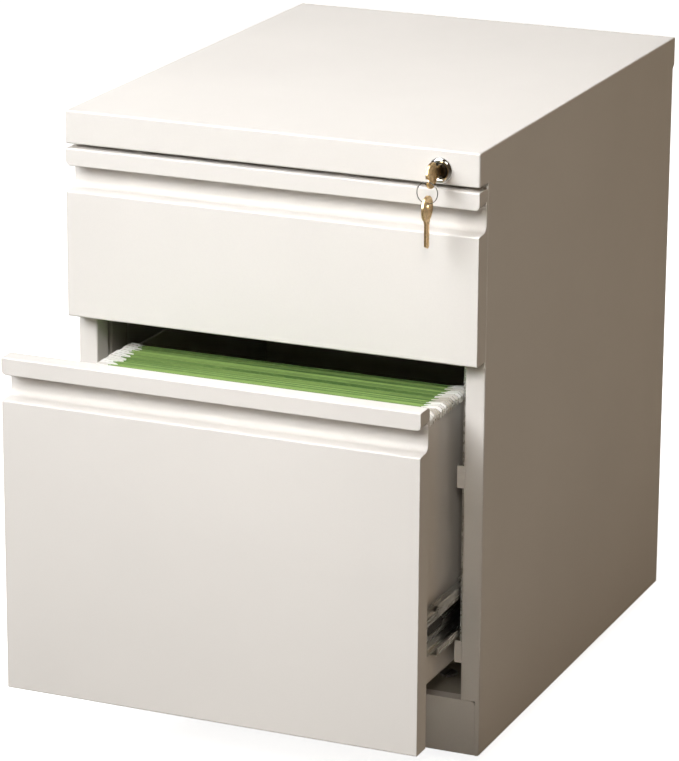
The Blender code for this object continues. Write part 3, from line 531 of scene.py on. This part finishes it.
def all_materials():
    """One material for each slot of the record, and three more for single pieces."""
    return {
        "powder_coat": powder_coat("powder_coat_off_white", (0.80, 0.772, 0.738)),
        # The inside coat is darker than the outside: painted shade for the dim inside of the case
        # and drawers.
        "inside_coat": powder_coat("powder_coat_inside_painted_shade", (0.42, 0.405, 0.36), 0.6),
        "zinc_steel": plated_steel("zinc_plated_steel", (0.66, 0.67, 0.66), 0.27),
        "chrome": polished("bright_chrome", (0.82, 0.82, 0.82)),
        "key_brass": brass("stamped_brass", (0.92, 0.66, 0.34)),
        "wheel_plastic": plastic("black_nylon", (0.028, 0.028, 0.030)),
        "folder_card": pressed_card("green_card", (0.25, 0.38, 0.10), (0.055, 0.13, 0.022)),
        # The hooks' second colour is the painted shade of the gaps between them.
        "hook_coat": coated_rod("hook_coating", (0.90, 0.89, 0.86), (0.55, 0.50, 0.43)),
        "lock_dark": polished("darkened_plug", (0.10, 0.085, 0.065), 0.25),
        "ring_steel": polished("ring_steel", (0.32, 0.31, 0.29), 0.25),
    }


# Places taken from the frame


class Places:
    """The frame's dimensions that the pieces here are built from."""

    def __init__(self):
        top_low, top_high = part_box("top_panel")
        rail_low, rail_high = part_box("base_rail")
        self.half = top_high.x
        self.front = top_low.y
        self.rear = top_high.y
        self.top = top_high.z
        self.bottom = rail_low.z
        self.base_top = rail_high.z
        self.stile_y = rail_low.y
        self.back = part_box("back_panel")[1].y
        self.opening = -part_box("front_stile_left")[1].x
        self.apron_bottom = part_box("front_stile_left")[1].z - SHEET
        self.stile_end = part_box("front_stile_left")[1].y
        self.band_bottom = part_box("back_panel")[1].z + GAP
        self.band_proud = self.rear - self.back
        lock_low, lock_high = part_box("lock_housing")
        lock_middle = (lock_low + lock_high) / 2
        self.lock = (lock_middle.x, self.front, lock_middle.z)


# Case


def case_outline(at):
    """The case from the side: apron, recess for the drawer fronts, and the band along the back."""
    return rounded([
        (at.stile_y, at.bottom),
        (at.back, at.bottom),
        (at.back, at.band_bottom),
        (at.rear, at.band_bottom + at.band_proud),
        (at.rear, at.top, 2 * MM),
        (at.front, at.top, 2 * MM),
        (at.front, at.apron_bottom, 1.5 * MM),
        (at.stile_y, at.apron_bottom),
    ])


def case_hollow(at):
    """What is empty inside that outline, open at the back and below."""
    step = at.band_bottom
    return [
        (at.stile_y + SHEET, at.bottom - MM),
        (at.rear + MM, at.bottom - MM),
        (at.rear + MM, step - GAP),
        (at.back - SHEET, step - GAP),
        (at.back - SHEET, step + 0.4 * MM),
        (at.rear - SHEET, step + at.band_proud + 0.4 * MM),
        (at.rear - SHEET, at.top - SHEET),
        (at.front + SHEET, at.top - SHEET),
        (at.front + SHEET, at.apron_bottom + SHEET),
        (at.stile_y + SHEET, at.apron_bottom + SHEET),
    ]


def case_wrapper(at, materials):
    """Top, sides, apron and stiles as one formed shell with soft bends along every outer edge."""
    shell = prism("case_wrapper", "x", case_outline(at), -at.half, at.half, BEND)
    inner = at.half - SHEET
    seam = at.opening + 2 * MM
    rail_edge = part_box("base_rail")[1].x + 0.15 * MM
    barrel = [(0, -5 * MM), (8.6 * MM, -5 * MM), (8.6 * MM, 5 * MM), (0, 5 * MM)]
    cutters = [
        prism("hollow", "x", case_hollow(at), -inner, inner),
        block(
            "opening", (-seam, seam), (at.stile_y - GAP, at.stile_y + 2 * MM),
            (at.base_top + GAP, at.apron_bottom + SHEET * 1.5),
        ),
        block(
            "rail_gap", (-rail_edge, rail_edge), (at.stile_y - MM, at.stile_y + 2 * MM),
            (at.bottom - MM, at.base_top + 0.35 * MM),
        ),
        turned("lock_hole", "y", barrel, at.lock),
    ]
    combine(shell, cutters, "DIFFERENCE")
    finish(
        shell, materials["powder_coat"], "case",
        ("top_panel", "side_panel_left", "side_panel_right"),
    )


def stile_returns(at, materials):
    """The bent inner edges of the front posts."""
    for name, side in (("left", -1), ("right", 1)):
        path = [
            (side * (at.opening + 2 * MM), at.stile_y),
            (side * at.opening, at.stile_y, BEND),
            (side * at.opening, at.stile_end),
        ]
        outline = sheet(path, -SHEET * side)
        top = at.apron_bottom + SHEET
        edge = prism("stile_return_" + name, "z", outline, at.base_top + GAP, top)
        finish(edge, materials["powder_coat"], "case", ("front_stile_" + name,))


def bar_keepers(at, materials):
    """Two tabs of the right post that keep the lock bar behind them, each under what passes it."""
    tabs = bmesh.new()
    inner_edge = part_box("front_stile_right")[0].x
    for passing in ("file_lock_catch", "file_slide_middle_right"):
        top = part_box(passing)[0].z - KEEPER_GAP
        bottom = top - KEEPER_HEIGHT
        tab = rounded(rectangle(inner_edge, at.opening + 0.6 * MM, bottom, top, 1.2 * MM))
        add_prism(tabs, "y", tab, at.stile_y + 0.1 * MM, at.stile_y + 0.9 * MM)
    made = object_from("bar_keepers", tabs)
    finish(made, materials["powder_coat"], "case", bevel=0.2 * MM)


def base_rail(at, materials):
    """Kick rail with rounded top corners, and the flanges folded back from its two long edges."""
    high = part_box("base_rail")[1]
    edge = high.x
    face = rounded([
        (-edge, at.bottom, 0.5 * MM),
        (edge, at.bottom, 0.5 * MM),
        (edge, at.base_top, RAIL_CORNER),
        (-edge, at.base_top, RAIL_CORNER),
    ], steps=8)
    rail = prism("base_rail_face", "y", face, at.stile_y, at.stile_y + 2.2 * MM, SMALL_BEND)
    finish(rail, materials["powder_coat"], "case", ("base_rail",))
    inner = edge - RAIL_CORNER
    for name, low_z, high_z in (
        ("base_rail_flange", at.base_top - SHEET, at.base_top),
        ("base_rail_foot", at.bottom, at.bottom + SHEET),
    ):
        flange = block(name, (-inner, inner), (at.stile_y + 1.5 * MM, high.y), (low_z, high_z))
        finish(flange, materials["powder_coat"], "case", bevel=0.25 * MM)


def back_welds(at, materials):
    """Rows of spot-weld marks that hold the back panel to the side flanges."""
    dots = bmesh.new()
    edge = at.half - 9 * MM
    rows = 7
    profile = [
        (0, 0.25 * MM),
        (1.8 * MM, 0.3 * MM),
        (2.6 * MM, 0.1 * MM),
        (3.0 * MM, -0.3 * MM),
        (0, -0.3 * MM),
    ]
    for side in (-1, 1):
        for index in range(rows):
            height = at.bottom + (index + 0.5) / rows * (at.band_bottom - at.bottom)
            add_turned(dots, "y", profile, (side * edge, at.back, height), 20)
    made = object_from("back_weld_marks", dots)
    finish(made, materials["powder_coat"], "case")


# Drawers


def corner_waste(name, side, edge, height, radius, y_span):
    """What is cut away to round the lower corner of a lip at one of its ends."""
    corner = Vector((edge, height))
    above, inside = Vector((edge, height + 3 * radius)), Vector((0, height))
    past = 2 * MM
    outline = [
        corner + Vector((past, radius)),
        *fillet(above, corner, inside, radius, 8),
        corner + Vector((-radius, -past)),
        corner + Vector((past, -past)),
    ]
    return prism(name, "y", [(side * point.x, point.y) for point in outline], *y_span)


def drawer_front(prefix, at, materials):
    """A formed front: panel, ledge, recessed pull with its cove, and a lip with round corners."""
    low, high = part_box(prefix + "_front")
    ledge = high.z - PULL_HEIGHT
    wall = low.y + PULL_DEPTH
    under_lip = high.z - LIP_HEIGHT
    section = rounded([
        (low.y, low.z, 1.5 * MM),
        (high.y, low.z, 0.5 * MM),
        (high.y, high.z, LIP_BACK_BEND),
        (low.y, high.z, 1.5 * MM),
        (low.y, under_lip, 1.0 * MM),
        (wall, under_lip, 2.5 * MM),
        (wall, ledge + LEDGE_FALL, RECESS_COVE),
        (low.y, ledge, 1.5 * MM),
    ], steps=5)
    front = prism(prefix + "_drawer_front", "x", section, low.x, high.x, 1.0 * MM)
    y_span = (low.y - MM, wall - 0.5 * MM)
    cutters = [
        corner_waste(f"corner_{side}", side, high.x, under_lip, LIP_CORNER, y_span)
        for side in (-1, 1)
    ]
    combine(front, cutters, "DIFFERENCE")
    finish(
        front, materials["powder_coat"], prefix + "_drawer",
        (prefix + "_front", prefix + "_front_liner"),
    )


def drawer_tub(prefix, materials):
    """Sides with a rolled hem along the top, for the folders' hooks to run on."""
    for name, side in (("left", -1), ("right", 1)):
        node = f"{prefix}_side_{name}"
        low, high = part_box(node)
        outer = max(abs(low.x), abs(high.x))
        hem = min(abs(low.x), abs(high.x))
        outline = [
            (outer, low.z),
            (outer, high.z, HEM_BEND),
            (hem, high.z, HEM_BEND),
            (hem, high.z - HEM_HEIGHT),
            (hem + 0.5 * MM, high.z - HEM_HEIGHT),
            (hem + 0.7 * MM, high.z - HEM_HEIGHT + MM),
            (outer - 0.9 * MM, high.z - HEM_HEIGHT + MM),
            (outer - 0.9 * MM, low.z),
        ]
        outline = [(side * point.x, point.y) for point in rounded(outline)]
        made = prism(f"{prefix}_tub_side_{name}", "y", outline, low.y, high.y)
        finish(made, materials["powder_coat"], prefix + "_drawer", (node,))


# Slides


def member_outline(side, node, web_at, tip_at):
    """Section of a slide member: a web with a raised middle, and flanges rolled into ball races."""
    low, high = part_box(node)
    middle = (low.z + high.z) / 2
    half = (high.z - low.z) / 2
    inward = 1 if tip_at > web_at else -1
    raised = web_at + inward * 0.9 * MM
    path = [
        (tip_at, middle + half - RACE_LIP, 0),
        (tip_at - inward * 1.2 * MM, middle + half, 1.1 * MM),
        (web_at, middle + half, 1.6 * MM),
        (web_at, middle + half * 0.56, 0.5 * MM),
        (raised, middle + half * 0.48, 0.5 * MM),
        (raised, middle - half * 0.48, 0.5 * MM),
        (web_at, middle - half * 0.56, 0.5 * MM),
        (web_at, middle - half, 1.6 * MM),
        (tip_at - inward * 1.2 * MM, middle - half, 1.1 * MM),
        (tip_at, middle - half + RACE_LIP, 0),
    ]
    return [(side * point.x, point.y) for point in sheet(path, MEMBER_SHEET * inward)]


def opening_outline(node, opening, shrink=0.0):
    """The outline in YZ of an opening in a member's web, drawn in by shrink in all."""
    low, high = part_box(node)
    start, length, height = opening
    middle = (low.z + high.z) / 2 - OPENING_DROP
    return slot_outline(low.y + start + length / 2, middle, length - shrink, height - shrink)


def slides(materials):
    """Full-extension slides of the file drawer: members one inside another, on both sides."""
    for name, side in (("left", -1), ("right", 1)):
        for part, body, openings in (
            ("inner", "file_drawer", [FRONT_SLOT, *ROUND_HOLES]),
            ("middle", "file_slide_middles", [FRONT_WINDOW, *ROUND_HOLES[1:]]),
            ("outer", "case", ROUND_HOLES),
        ):
            node = f"file_slide_{part}_{name}"
            low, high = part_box(node)
            near, far = sorted((abs(low.x), abs(high.x)))
            web, tip = (near, far) if part == "inner" else (far, near)
            outline = member_outline(side, node, web, tip)
            member = prism(f"file_slide_{part}_member_{name}", "y", outline, low.y, high.y)
            cutters = [
                prism(
                    f"slot_{index}", "x", opening_outline(node, opening),
                    low.x - 2 * MM, high.x + 2 * MM,
                )
                for index, opening in enumerate(openings)
            ]
            combine(member, cutters, "DIFFERENCE")
            finish(member, materials["zinc_steel"], body, (node,), bevel=0.15 * MM)


def slot_shade_plates(materials):
    """Black plates just inside the slots of the drawer members: painted shade for their dark holes.
    """
    for name, side in (("left", -1), ("right", 1)):
        node = "file_slide_inner_" + name
        low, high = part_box(node)
        web = min(abs(low.x), abs(high.x))
        shape = opening_outline(node, FRONT_SLOT, 0.8 * MM)
        span = sorted((side * (web + 0.25 * MM), side * (web + 1.2 * MM)))
        # A black plate behind each slot: painted shade where the open slot shows dark.
        shade_plate = prism("slot_shade_plate_" + name, "x", shape, *span, 0.3 * MM, 2)
        finish(shade_plate, materials["wheel_plastic"], "file_drawer")


# Lock and keys


def lock(at, materials):
    """Domed bezel with a turned rim, and the plug with its keyway."""
    low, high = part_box("lock_housing")
    centre_x, _, centre_z = at.lock
    rim = (high.x - low.x) / 2
    bore = 6.25 * MM
    profile = [
        (bore, -1.0 * MM),
        (bore + 0.5 * MM, -2.0 * MM),
        (bore + 1.3 * MM, -2.9 * MM),
        (bore + 2.1 * MM, -3.2 * MM),
        (rim - 1.7 * MM, -2.9 * MM),
        (rim - 0.8 * MM, -2.1 * MM),
        (rim - 0.2 * MM, -1.1 * MM),
        (rim, -0.25 * MM),
        (8.2 * MM, -0.25 * MM),
        (8.2 * MM, high.y - at.front),
        (bore, high.y - at.front),
    ]
    bezel = turned("lock_bezel", "y", profile, at.lock, 64)
    finish(bezel, materials["chrome"], "case", ("lock_housing",), angle=50)
    plug_low, plug_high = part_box("lock_plug")
    face = plug_low.y - at.front
    radius = 5.95 * MM
    tail = plug_high.y - at.front
    profile = [
        (0, face + 0.9 * MM),
        (2.6 * MM, face + 0.9 * MM),
        (4.4 * MM, face + 0.15 * MM),
        (5.4 * MM, face),
        (radius, face + 0.5 * MM),
        (radius, tail - 2.9 * MM),
        (3 * MM, tail - 2.9 * MM),
        (3 * MM, tail),
        (0, tail),
    ]
    plug = turned("lock_plug_face", "y", profile, at.lock)
    keyway = block(
        "keyway", (centre_x - 1.35 * MM, centre_x + 1.35 * MM),
        (at.front + face - MM, at.front + face + 20.3 * MM),
        (centre_z - 4.1 * MM, centre_z + 4.1 * MM),
    )
    combine(plug, [keyway], "DIFFERENCE")
    finish(plug, materials["lock_dark"], "lock_plug", ("lock_plug",), angle=40)


def key_section(blade, behind, bow_radius):
    """A key from the side. Its blade runs from 0 to +across, and its neck and bow reach behind 0.

    Returns the outline and where the middles of the neck and of the bow are.
    """
    shoulder = BLADE_HALF + SHOULDER_STEP
    start = math.asin(shoulder / bow_radius)
    bow = bow_radius - behind
    neck = bow + bow_radius * math.cos(start)
    outline = [Vector((0, BLADE_HALF)), Vector((0, shoulder)), Vector((neck, shoulder))]
    steps = 44
    for step in range(1, steps):
        angle = start + (2 * math.pi - 2 * start) * step / steps
        outline.append(Vector((bow + bow_radius * math.cos(angle), bow_radius * math.sin(angle))))
    outline += [Vector((neck, -shoulder)), Vector((0, -shoulder)), Vector((0, -BLADE_HALF))]
    cuts = 5
    for index in range(cuts):
        depth = (0.55 + 0.3 * math.sin(index * 2.3)) * MM
        begin = blade * (0.12 + 0.13 * index)
        outline.append(Vector((begin, -BLADE_HALF)))
        outline.append(Vector((begin + blade * 0.04, -BLADE_HALF + depth)))
        outline.append(Vector((begin + blade * 0.08, -BLADE_HALF + depth)))
    outline.append(Vector((blade - 2 * MM, -BLADE_HALF)))
    outline.append(Vector((blade, -BLADE_HALF + 2.5 * MM)))
    outline.append(Vector((blade - 2.5 * MM, BLADE_HALF)))
    return outline, neck / 2, bow


def key(node, body, section, to_frame, centre_x, hole, groove, materials):
    """A stamped key: bevelled blank with a hole, a bow sunk inside its rim, and a milled groove.

    The section is what key_section() takes, the hole is a place in YZ, and the groove is the band
    across the blade that is milled out.
    """
    blade, _, bow_radius = section
    outline, neck_middle, bow = key_section(*section)
    half = 1.0 * MM
    outline = [to_frame(point) for point in outline]
    blank = prism(node + "_blank", "x", outline, centre_x - half, centre_x + half, 0.25 * MM, 2)
    bow_place = (centre_x, *to_frame(Vector((bow, 0))))
    floor_radius, wall_radius = bow_radius - 2.2 * MM, bow_radius - 1.8 * MM
    recess = [(0, 0.0), (floor_radius, 0.0), (wall_radius, 0.6 * MM), (0, 0.6 * MM)]
    ring_hole = [(0, -3 * MM), (2.4 * MM, -3 * MM), (2.4 * MM, 3 * MM), (0, 3 * MM)]
    groove_start = to_frame(Vector((neck_middle, groove[0])))
    groove_end = to_frame(Vector((blade * 0.9, groove[1])))
    groove_spans = [sorted(ends) for ends in zip(groove_start, groove_end)]
    cutters = []
    for sign in (-1, 1):
        profile = [(radius, sign * (half - 0.3 * MM + along)) for radius, along in recess]
        cutters.append(turned(f"bow_{sign}", "x", profile, bow_place, 32))
    cutters.append(turned("ring_hole", "x", ring_hole, (centre_x, *hole), 24))
    for sign in (-1, 1):
        span = sorted((centre_x + sign * (half + 0.5 * MM), centre_x + sign * (half - 0.35 * MM)))
        cutters.append(block(f"groove_{sign}", span, *groove_spans))
    combine(blank, cutters, "DIFFERENCE")
    finish(blank, materials["key_brass"], body, (node,), angle=35)


def keys(materials):
    """The key in the lock, the spare key that hangs below it, and the split ring through both."""
    low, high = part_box("key_in_lock")
    ring_low, ring_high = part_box("key_ring")
    spare_low, spare_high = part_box("spare_key")
    centre_x = (low.x + high.x) / 2
    axis_z = (low.z + high.z) / 2
    bow_radius = (high.z - low.z) / 2
    shoulder_y = high.y - KEY_BLADE
    pivot_y = (ring_low.y + ring_high.y) / 2
    key(
        "key_in_lock", "lock_plug", (KEY_BLADE, shoulder_y - low.y, bow_radius),
        lambda point: (shoulder_y + point.x, axis_z + point.y),
        centre_x, (pivot_y, axis_z - 2 * MM), (0.3 * MM, 1.6 * MM), materials,
    )
    spare_y = (spare_low.y + spare_high.y) / 2
    spare_shoulder_z = spare_low.z + 25 * MM
    key(
        "spare_key", "spare_key", (SPARE_BLADE, spare_high.z - spare_shoulder_z, bow_radius),
        lambda point: (spare_y - point.y, spare_shoulder_z - point.x),
        centre_x, (pivot_y, ring_low.z - 0.7 * MM), (-0.4 * MM, 1.0 * MM), materials,
    )
    radius = (ring_high.x - ring_low.x) / 2 - RING_MARGIN
    centre = Vector((centre_x, pivot_y, (ring_low.z + ring_high.z) / 2))
    points = []
    steps = 96
    for step in range(steps + 1):
        angle = 2 * math.pi * RING_TURNS * step / steps
        shift = (step / steps - 0.5) * 0.75 * MM
        points.append(centre + Vector((radius * math.sin(angle), shift, radius * math.cos(angle))))
    ring = bmesh.new()
    add_tube(ring, points, RING_WIRE, 8)
    made = object_from("split_ring", ring)
    finish(made, materials["ring_steel"], "key_ring", ("key_ring",), angle=60)


# Hanging folders


def hook_outline(side, rise, drop, shift):
    """A folder rod's end: a flat strip that rests on the drawer's hem and turns down outside it."""
    side_low, side_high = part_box("file_side_right")
    outer = side_high.x
    hem = side_low.x
    rest = side_high.z + 0.3 * MM
    top = rest + 3.4 * MM + rise
    outline = rounded([
        (hem - 14 * MM, rest - 1.0 * MM, 0.3 * MM),
        (hem - 1.0 * MM, rest - 1.6 * MM, 0.6 * MM),
        (hem - 0.5 * MM, rest + 0.3 * MM, 0.4 * MM),
        (outer + 0.9 * MM, rest + 0.3 * MM, 0.4 * MM),
        (outer + 1.1 * MM, rest - drop, 0.3 * MM),
        (outer + 2.2 * MM, rest - drop - 0.5 * MM, 0.3 * MM),
        (outer + 2.6 * MM, top - 1.8 * MM, 1.4 * MM),
        (outer - 1.0 * MM, top + 0.6 * MM, 1.6 * MM),
        (hem - 6 * MM, top, 1.0 * MM),
        (hem - 14 * MM, top - 1.4 * MM, 0.3 * MM),
    ], steps=3)
    return [(side * (point.x + shift), point.y) for point in outline]


def folders(materials):
    """A packed row of hanging folders: pairs of leaves that meet below, each hung on a rod."""
    rng = random.Random(SEED)
    low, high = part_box("hanging_folders")
    pitch = (high.y - low.y - 2 * ROW_MARGIN) / FOLDERS
    half_rod = ROD_WIDTH / 2
    half_leaf = LEAF_THICKNESS / 2
    leaves, hooks = bmesh.new(), bmesh.new()
    for index in range(FOLDERS):
        middle = low.y + ROW_MARGIN + (index + 0.5) * pitch
        fold_z = low.z + rng.uniform(0, 3) * MM
        for sign in (-1, 1):
            top_y = middle + sign * pitch * 0.25 + rng.uniform(-0.25, 0.25) * MM
            lift = rng.uniform(-1.3, 0.5) * MM
            edge = LEAF_REACH + rng.uniform(-0.8, 0.6) * MM
            top = high.z + lift
            section = rounded([
                (middle + sign * 0.5 * MM - half_leaf, fold_z),
                (middle + sign * 0.5 * MM + half_leaf, fold_z),
                (top_y + half_leaf, top - ROD_HEIGHT - 3 * MM),
                (top_y + half_rod, top - ROD_HEIGHT, 0.3 * MM),
                (top_y + half_rod, top, half_rod * 0.98),
                (top_y - half_rod, top, half_rod * 0.98),
                (top_y - half_rod, top - ROD_HEIGHT, 0.3 * MM),
                (top_y - half_leaf, top - ROD_HEIGHT - 3 * MM),
            ], steps=3)
            add_prism(leaves, "x", section, -edge, edge)
            for side in (-1, 1):
                front_rod = sign < 0
                rise = (rng.uniform(0.8, 1.7) if front_rod else rng.uniform(-1.2, -0.4)) * MM
                drop = (rng.uniform(3.4, 4.6) if front_rod else rng.uniform(0.8, 1.6)) * MM
                outline = hook_outline(side, rise, drop, rng.uniform(-0.5, 0.6) * MM)
                start = top_y - HOOK_WIDTH / 2 + rng.uniform(-0.2, 0.2) * MM
                add_prism(hooks, "y", outline, start, start + HOOK_WIDTH)
    made = object_from("folder_leaves", leaves)
    finish(made, materials["folder_card"], "folder_row", ("hanging_folders",))
    made = object_from("folder_hooks", hooks)
    finish(made, materials["hook_coat"], "folder_row", angle=40)


# Casters


def casters(materials):
    """Wheels with a moulded hub and a rounded tread."""
    for row in ("front", "rear"):
        for side in ("left", "right"):
            node = f"caster_wheel_{row}_{side}"
            low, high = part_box(node)
            centre = (low + high) / 2
            half = (high.x - low.x) / 2
            radius = (high.z - low.z) / 2
            profile = [
                (3.3 * MM, half),
                (6 * MM, half),
                (6.6 * MM, half - 0.6 * MM),
                (7 * MM, half - 2.4 * MM),
                (radius - 6 * MM, half - 2.4 * MM),
                (radius - 5.4 * MM, half - 0.4 * MM),
                (radius - 3.6 * MM, half),
            ]
            shoulder = [(radius - 3.6 * MM, half), (radius, half, 3.2 * MM), (radius, 0)]
            profile += [tuple(point) for point in rounded(shoulder, closed=False)[1:]]
            mirrored = [(reach, -along) for reach, along in profile[:-1]]
            wheel = turned(f"wheel_tread_{row}_{side}", "x", profile + mirrored[::-1], centre, 40)
            finish(
                wheel, materials["wheel_plastic"], f"wheel_{row}_{side}",
                (node,), angle=40,
            )


# CAD nodes that keep their shape


def dress_nodes(frame, materials):
    """Gives every CAD node still shown its slot's material and soft edges."""
    slots = {part["node"]: part["material_slot"] for part in frame["record"]["subparts"]}
    for node, obj in frame["nodes"].items():
        if obj.hide_render:
            continue
        obj.data.materials.clear()
        obj.data.materials.append(materials[slots[node]])
        obj.data.shade_smooth()
        obj.data.set_sharp_from_angle(angle=math.radians(32))
        edge = obj.modifiers.new("edges", "BEVEL")
        edge.width = 0.2 * MM
        edge.segments = 2
        edge.limit_method = "ANGLE"
        edge.angle_limit = math.radians(50)
        weighted = obj.modifiers.new("flats", "WEIGHTED_NORMAL")
        weighted.keep_sharp = True


# Studio


def floor():
    """A pale floor: white with a faint shadow to the camera, a dim reflector to everything else."""
    made = Nodes("pale_floor")
    mottle = made.spread(made.noise(3.0, 5.0), 0.3, 0.7, 0.0, 1.0)
    seen = made.add("ShaderNodeLightPath").outputs["Is Camera Ray"]
    pale = made.mix(mottle, (0.86, 0.86, 0.86), (0.90, 0.90, 0.90))
    made.to_shader("Base Color", made.mix(seen, (0.30, 0.27, 0.23), pale))
    made.to_shader("Roughness", 0.9)
    made.to_shader("Specular IOR Level", 0.1)
    made.to_shader("Emission Color", (1.0, 1.0, 1.0))
    made.to_shader("Emission Strength", made.spread(seen, 0.0, 1.0, 0.0, FLOOR_GLOW))
    shape = bmesh.new()
    bmesh.ops.create_grid(shape, x_segments=8, y_segments=8, size=14.0)
    ground = object_from("floor", shape)
    ground.data.materials.append(made.material)


def world():
    """White surroundings to the camera, and a dim warm wrap of light to everything else."""
    made = bpy.data.worlds.new("studio")
    bpy.context.scene.world = made
    made.use_nodes = True
    tree = made.node_tree
    tree.nodes.clear()
    output = tree.nodes.new("ShaderNodeOutputWorld")
    mix = tree.nodes.new("ShaderNodeMixShader")
    path = tree.nodes.new("ShaderNodeLightPath")
    seen = tree.nodes.new("ShaderNodeBackground")
    seen.inputs["Color"].default_value = (1, 1, 1, 1)
    seen.inputs["Strength"].default_value = SURROUND_GLOW
    lit = tree.nodes.new("ShaderNodeBackground")
    lit.inputs["Color"].default_value = (*WRAP_COLOR, 1)
    lit.inputs["Strength"].default_value = WRAP_GLOW
    tree.links.new(path.outputs["Is Camera Ray"], mix.inputs["Fac"])
    tree.links.new(lit.outputs[0], mix.inputs[1])
    tree.links.new(seen.outputs[0], mix.inputs[2])
    tree.links.new(mix.outputs[0], output.inputs["Surface"])


def area_light(name, place, target, size, power, color, spread):
    """A soft rectangular lamp aimed at a point."""
    data = bpy.data.lights.new(name, "AREA")
    data.shape = "RECTANGLE"
    data.size, data.size_y = size
    data.energy = power
    data.color = color
    data.spread = math.radians(spread)
    lamp = link(bpy.data.objects.new(name, data))
    lamp.location = place
    aim = Vector(target) - Vector(place)
    lamp.rotation_euler = aim.to_track_quat("-Z", "Y").to_euler()


def camera():
    """A distant camera with a long lens, turned a little about its own axis."""
    azimuth, elevation = math.radians(CAMERA_AZIMUTH), math.radians(CAMERA_ELEVATION)
    forward = Vector((
        -math.sin(azimuth) * math.cos(elevation),
        math.cos(azimuth) * math.cos(elevation),
        -math.sin(elevation),
    ))
    right = Vector((math.cos(azimuth), math.sin(azimuth), 0))
    roll = Matrix.Rotation(math.radians(CAMERA_ROLL), 3, -forward)
    right = roll @ right
    up = right.cross(forward)
    data = bpy.data.cameras.new("camera")
    data.lens = CAMERA_LENS
    data.clip_end = 50
    made = link(bpy.data.objects.new("camera", data))
    turn = Matrix((right, up, -forward)).transposed()
    made.matrix_world = Matrix.Translation(CAMERA_PLACE) @ turn.to_4x4()
    bpy.context.scene.camera = made


def plain_colors():
    """Shows light as it falls, with no film curve, so that the surroundings stay white."""
    bpy.context.scene.view_settings.view_transform = "Standard"


def main():
    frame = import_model()
    materials = all_materials()
    at = Places()
    case_wrapper(at, materials)
    stile_returns(at, materials)
    bar_keepers(at, materials)
    base_rail(at, materials)
    back_welds(at, materials)
    for prefix in ("box", "file"):
        drawer_front(prefix, at, materials)
        drawer_tub(prefix, materials)
    slides(materials)
    slot_shade_plates(materials)
    lock(at, materials)
    keys(materials)
    folders(materials)
    casters(materials)
    dress_nodes(frame, materials)
    floor()
    world()
    for lamp in LAMPS:
        area_light(*lamp)
    camera()
    plain_colors()


main()
